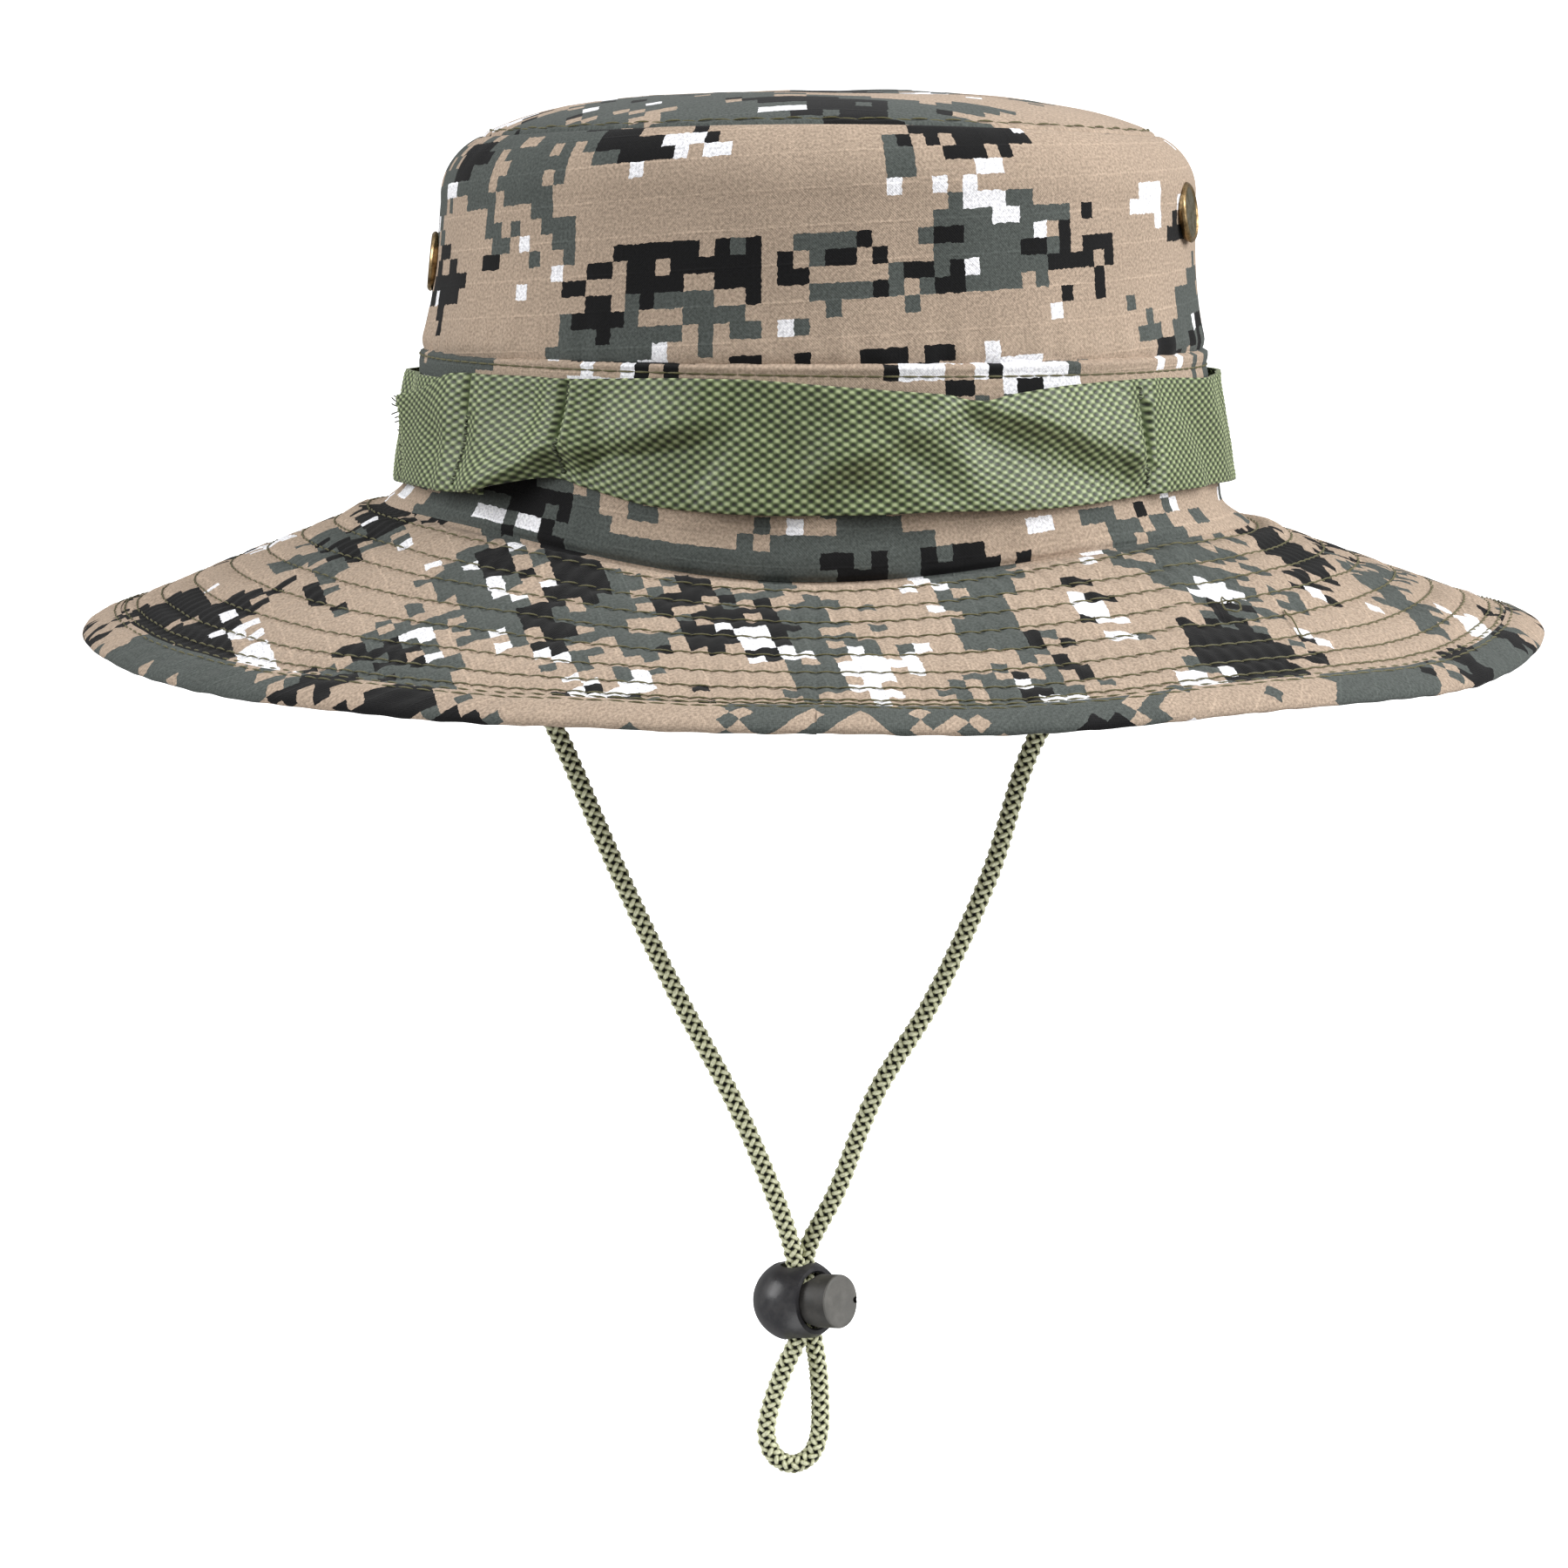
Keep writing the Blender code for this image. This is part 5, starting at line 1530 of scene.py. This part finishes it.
def makeStage():
    flat = stage["radius"] - stage["bend"]
    profile = [(0.0, stage["floorZ"]), (flat, stage["floorZ"])]
    for i in range(1, 13):
        turn = math.pi / 2 * i / 12
        rise = stage["bend"] * (1 - math.cos(turn))
        profile.append((flat + stage["bend"] * math.sin(turn), stage["floorZ"] + rise))
    profile.append((stage["radius"], stage["high"]))
    bm = turnedForm(profile, stage["steps"])
    made, _, shader = newMaterial("paleSweep", roughness=0.9)
    shader.inputs["Base Color"].default_value = (0.92, 0.92, 0.92, 1.0)
    shader.inputs["Emission Color"].default_value = (1.0, 1.0, 1.0, 1.0)
    shader.inputs["Emission Strength"].default_value = 1.05
    floor = newPiece("paleSweep", bm, made)
    floor.visible_diffuse = False
    floor.visible_glossy = False
    floor.visible_shadow = False
    floor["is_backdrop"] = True


# each light: name, place, what it points at, size and watts
lights = (
    ("rightBox", (1.95, -0.55, 1.05), (0.0, 0.0, 0.0), 1.2, 63.0),
    ("leftBox", (-1.95, -0.55, 1.05), (0.0, 0.0, 0.0), 1.2, 38.0),
    ("top", (0.0, -0.3, 1.9), (0.0, 0.0, 0.0), 1.2, 8.0),
    ("bounce", (0.0, -0.75, -1.15), (0.0, 0.0, -0.1), 0.8, 6.0),
)
worldLight = 0.35


def makeLight():
    world = bpy.data.worlds.new("softRoom")
    world.use_nodes = True
    sky = world.node_tree.nodes["Background"].inputs
    sky[0].default_value = (1.0, 1.0, 1.0, 1.0)
    sky[1].default_value = worldLight
    scene.world = world
    for name, place, target, size, power in lights:
        data = bpy.data.lights.new(name, "AREA")
        data.shape = "RECTANGLE"
        data.size, data.size_y = size, 1.5 * size
        data.energy = power
        light = bpy.data.objects.new(name, data)
        light.location = place
        light.rotation_mode = "QUATERNION"
        light.rotation_quaternion = (Vector(target) - Vector(place)).to_track_quat("-Z", "Y")
        scene.collection.objects.link(light)


view = {
    "sensor": 36.0, "lens": 147.7, "clip": (0.05, 50.0),
    "place": (-0.0068, -1.5, 0.1047), "downDeg": 6.364,
}


def makeCamera():
    data = bpy.data.cameras.new("camera")
    data.sensor_width = view["sensor"]
    data.lens = view["lens"]
    data.clip_start, data.clip_end = view["clip"]
    camera = bpy.data.objects.new("camera", data)
    camera.location = view["place"]
    camera.rotation_euler = (math.radians(90 - view["downDeg"]), 0.0, 0.0)
    scene.collection.objects.link(camera)
    scene.camera = camera


makeStage()
makeLight()
makeCamera()

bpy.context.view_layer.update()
meshes = [piece.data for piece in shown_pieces() if piece.type == "MESH"]
triangles = sum(len(face.vertices) - 2 for mesh in meshes for face in mesh.polygons)
print("triangles before modifiers:", triangles)
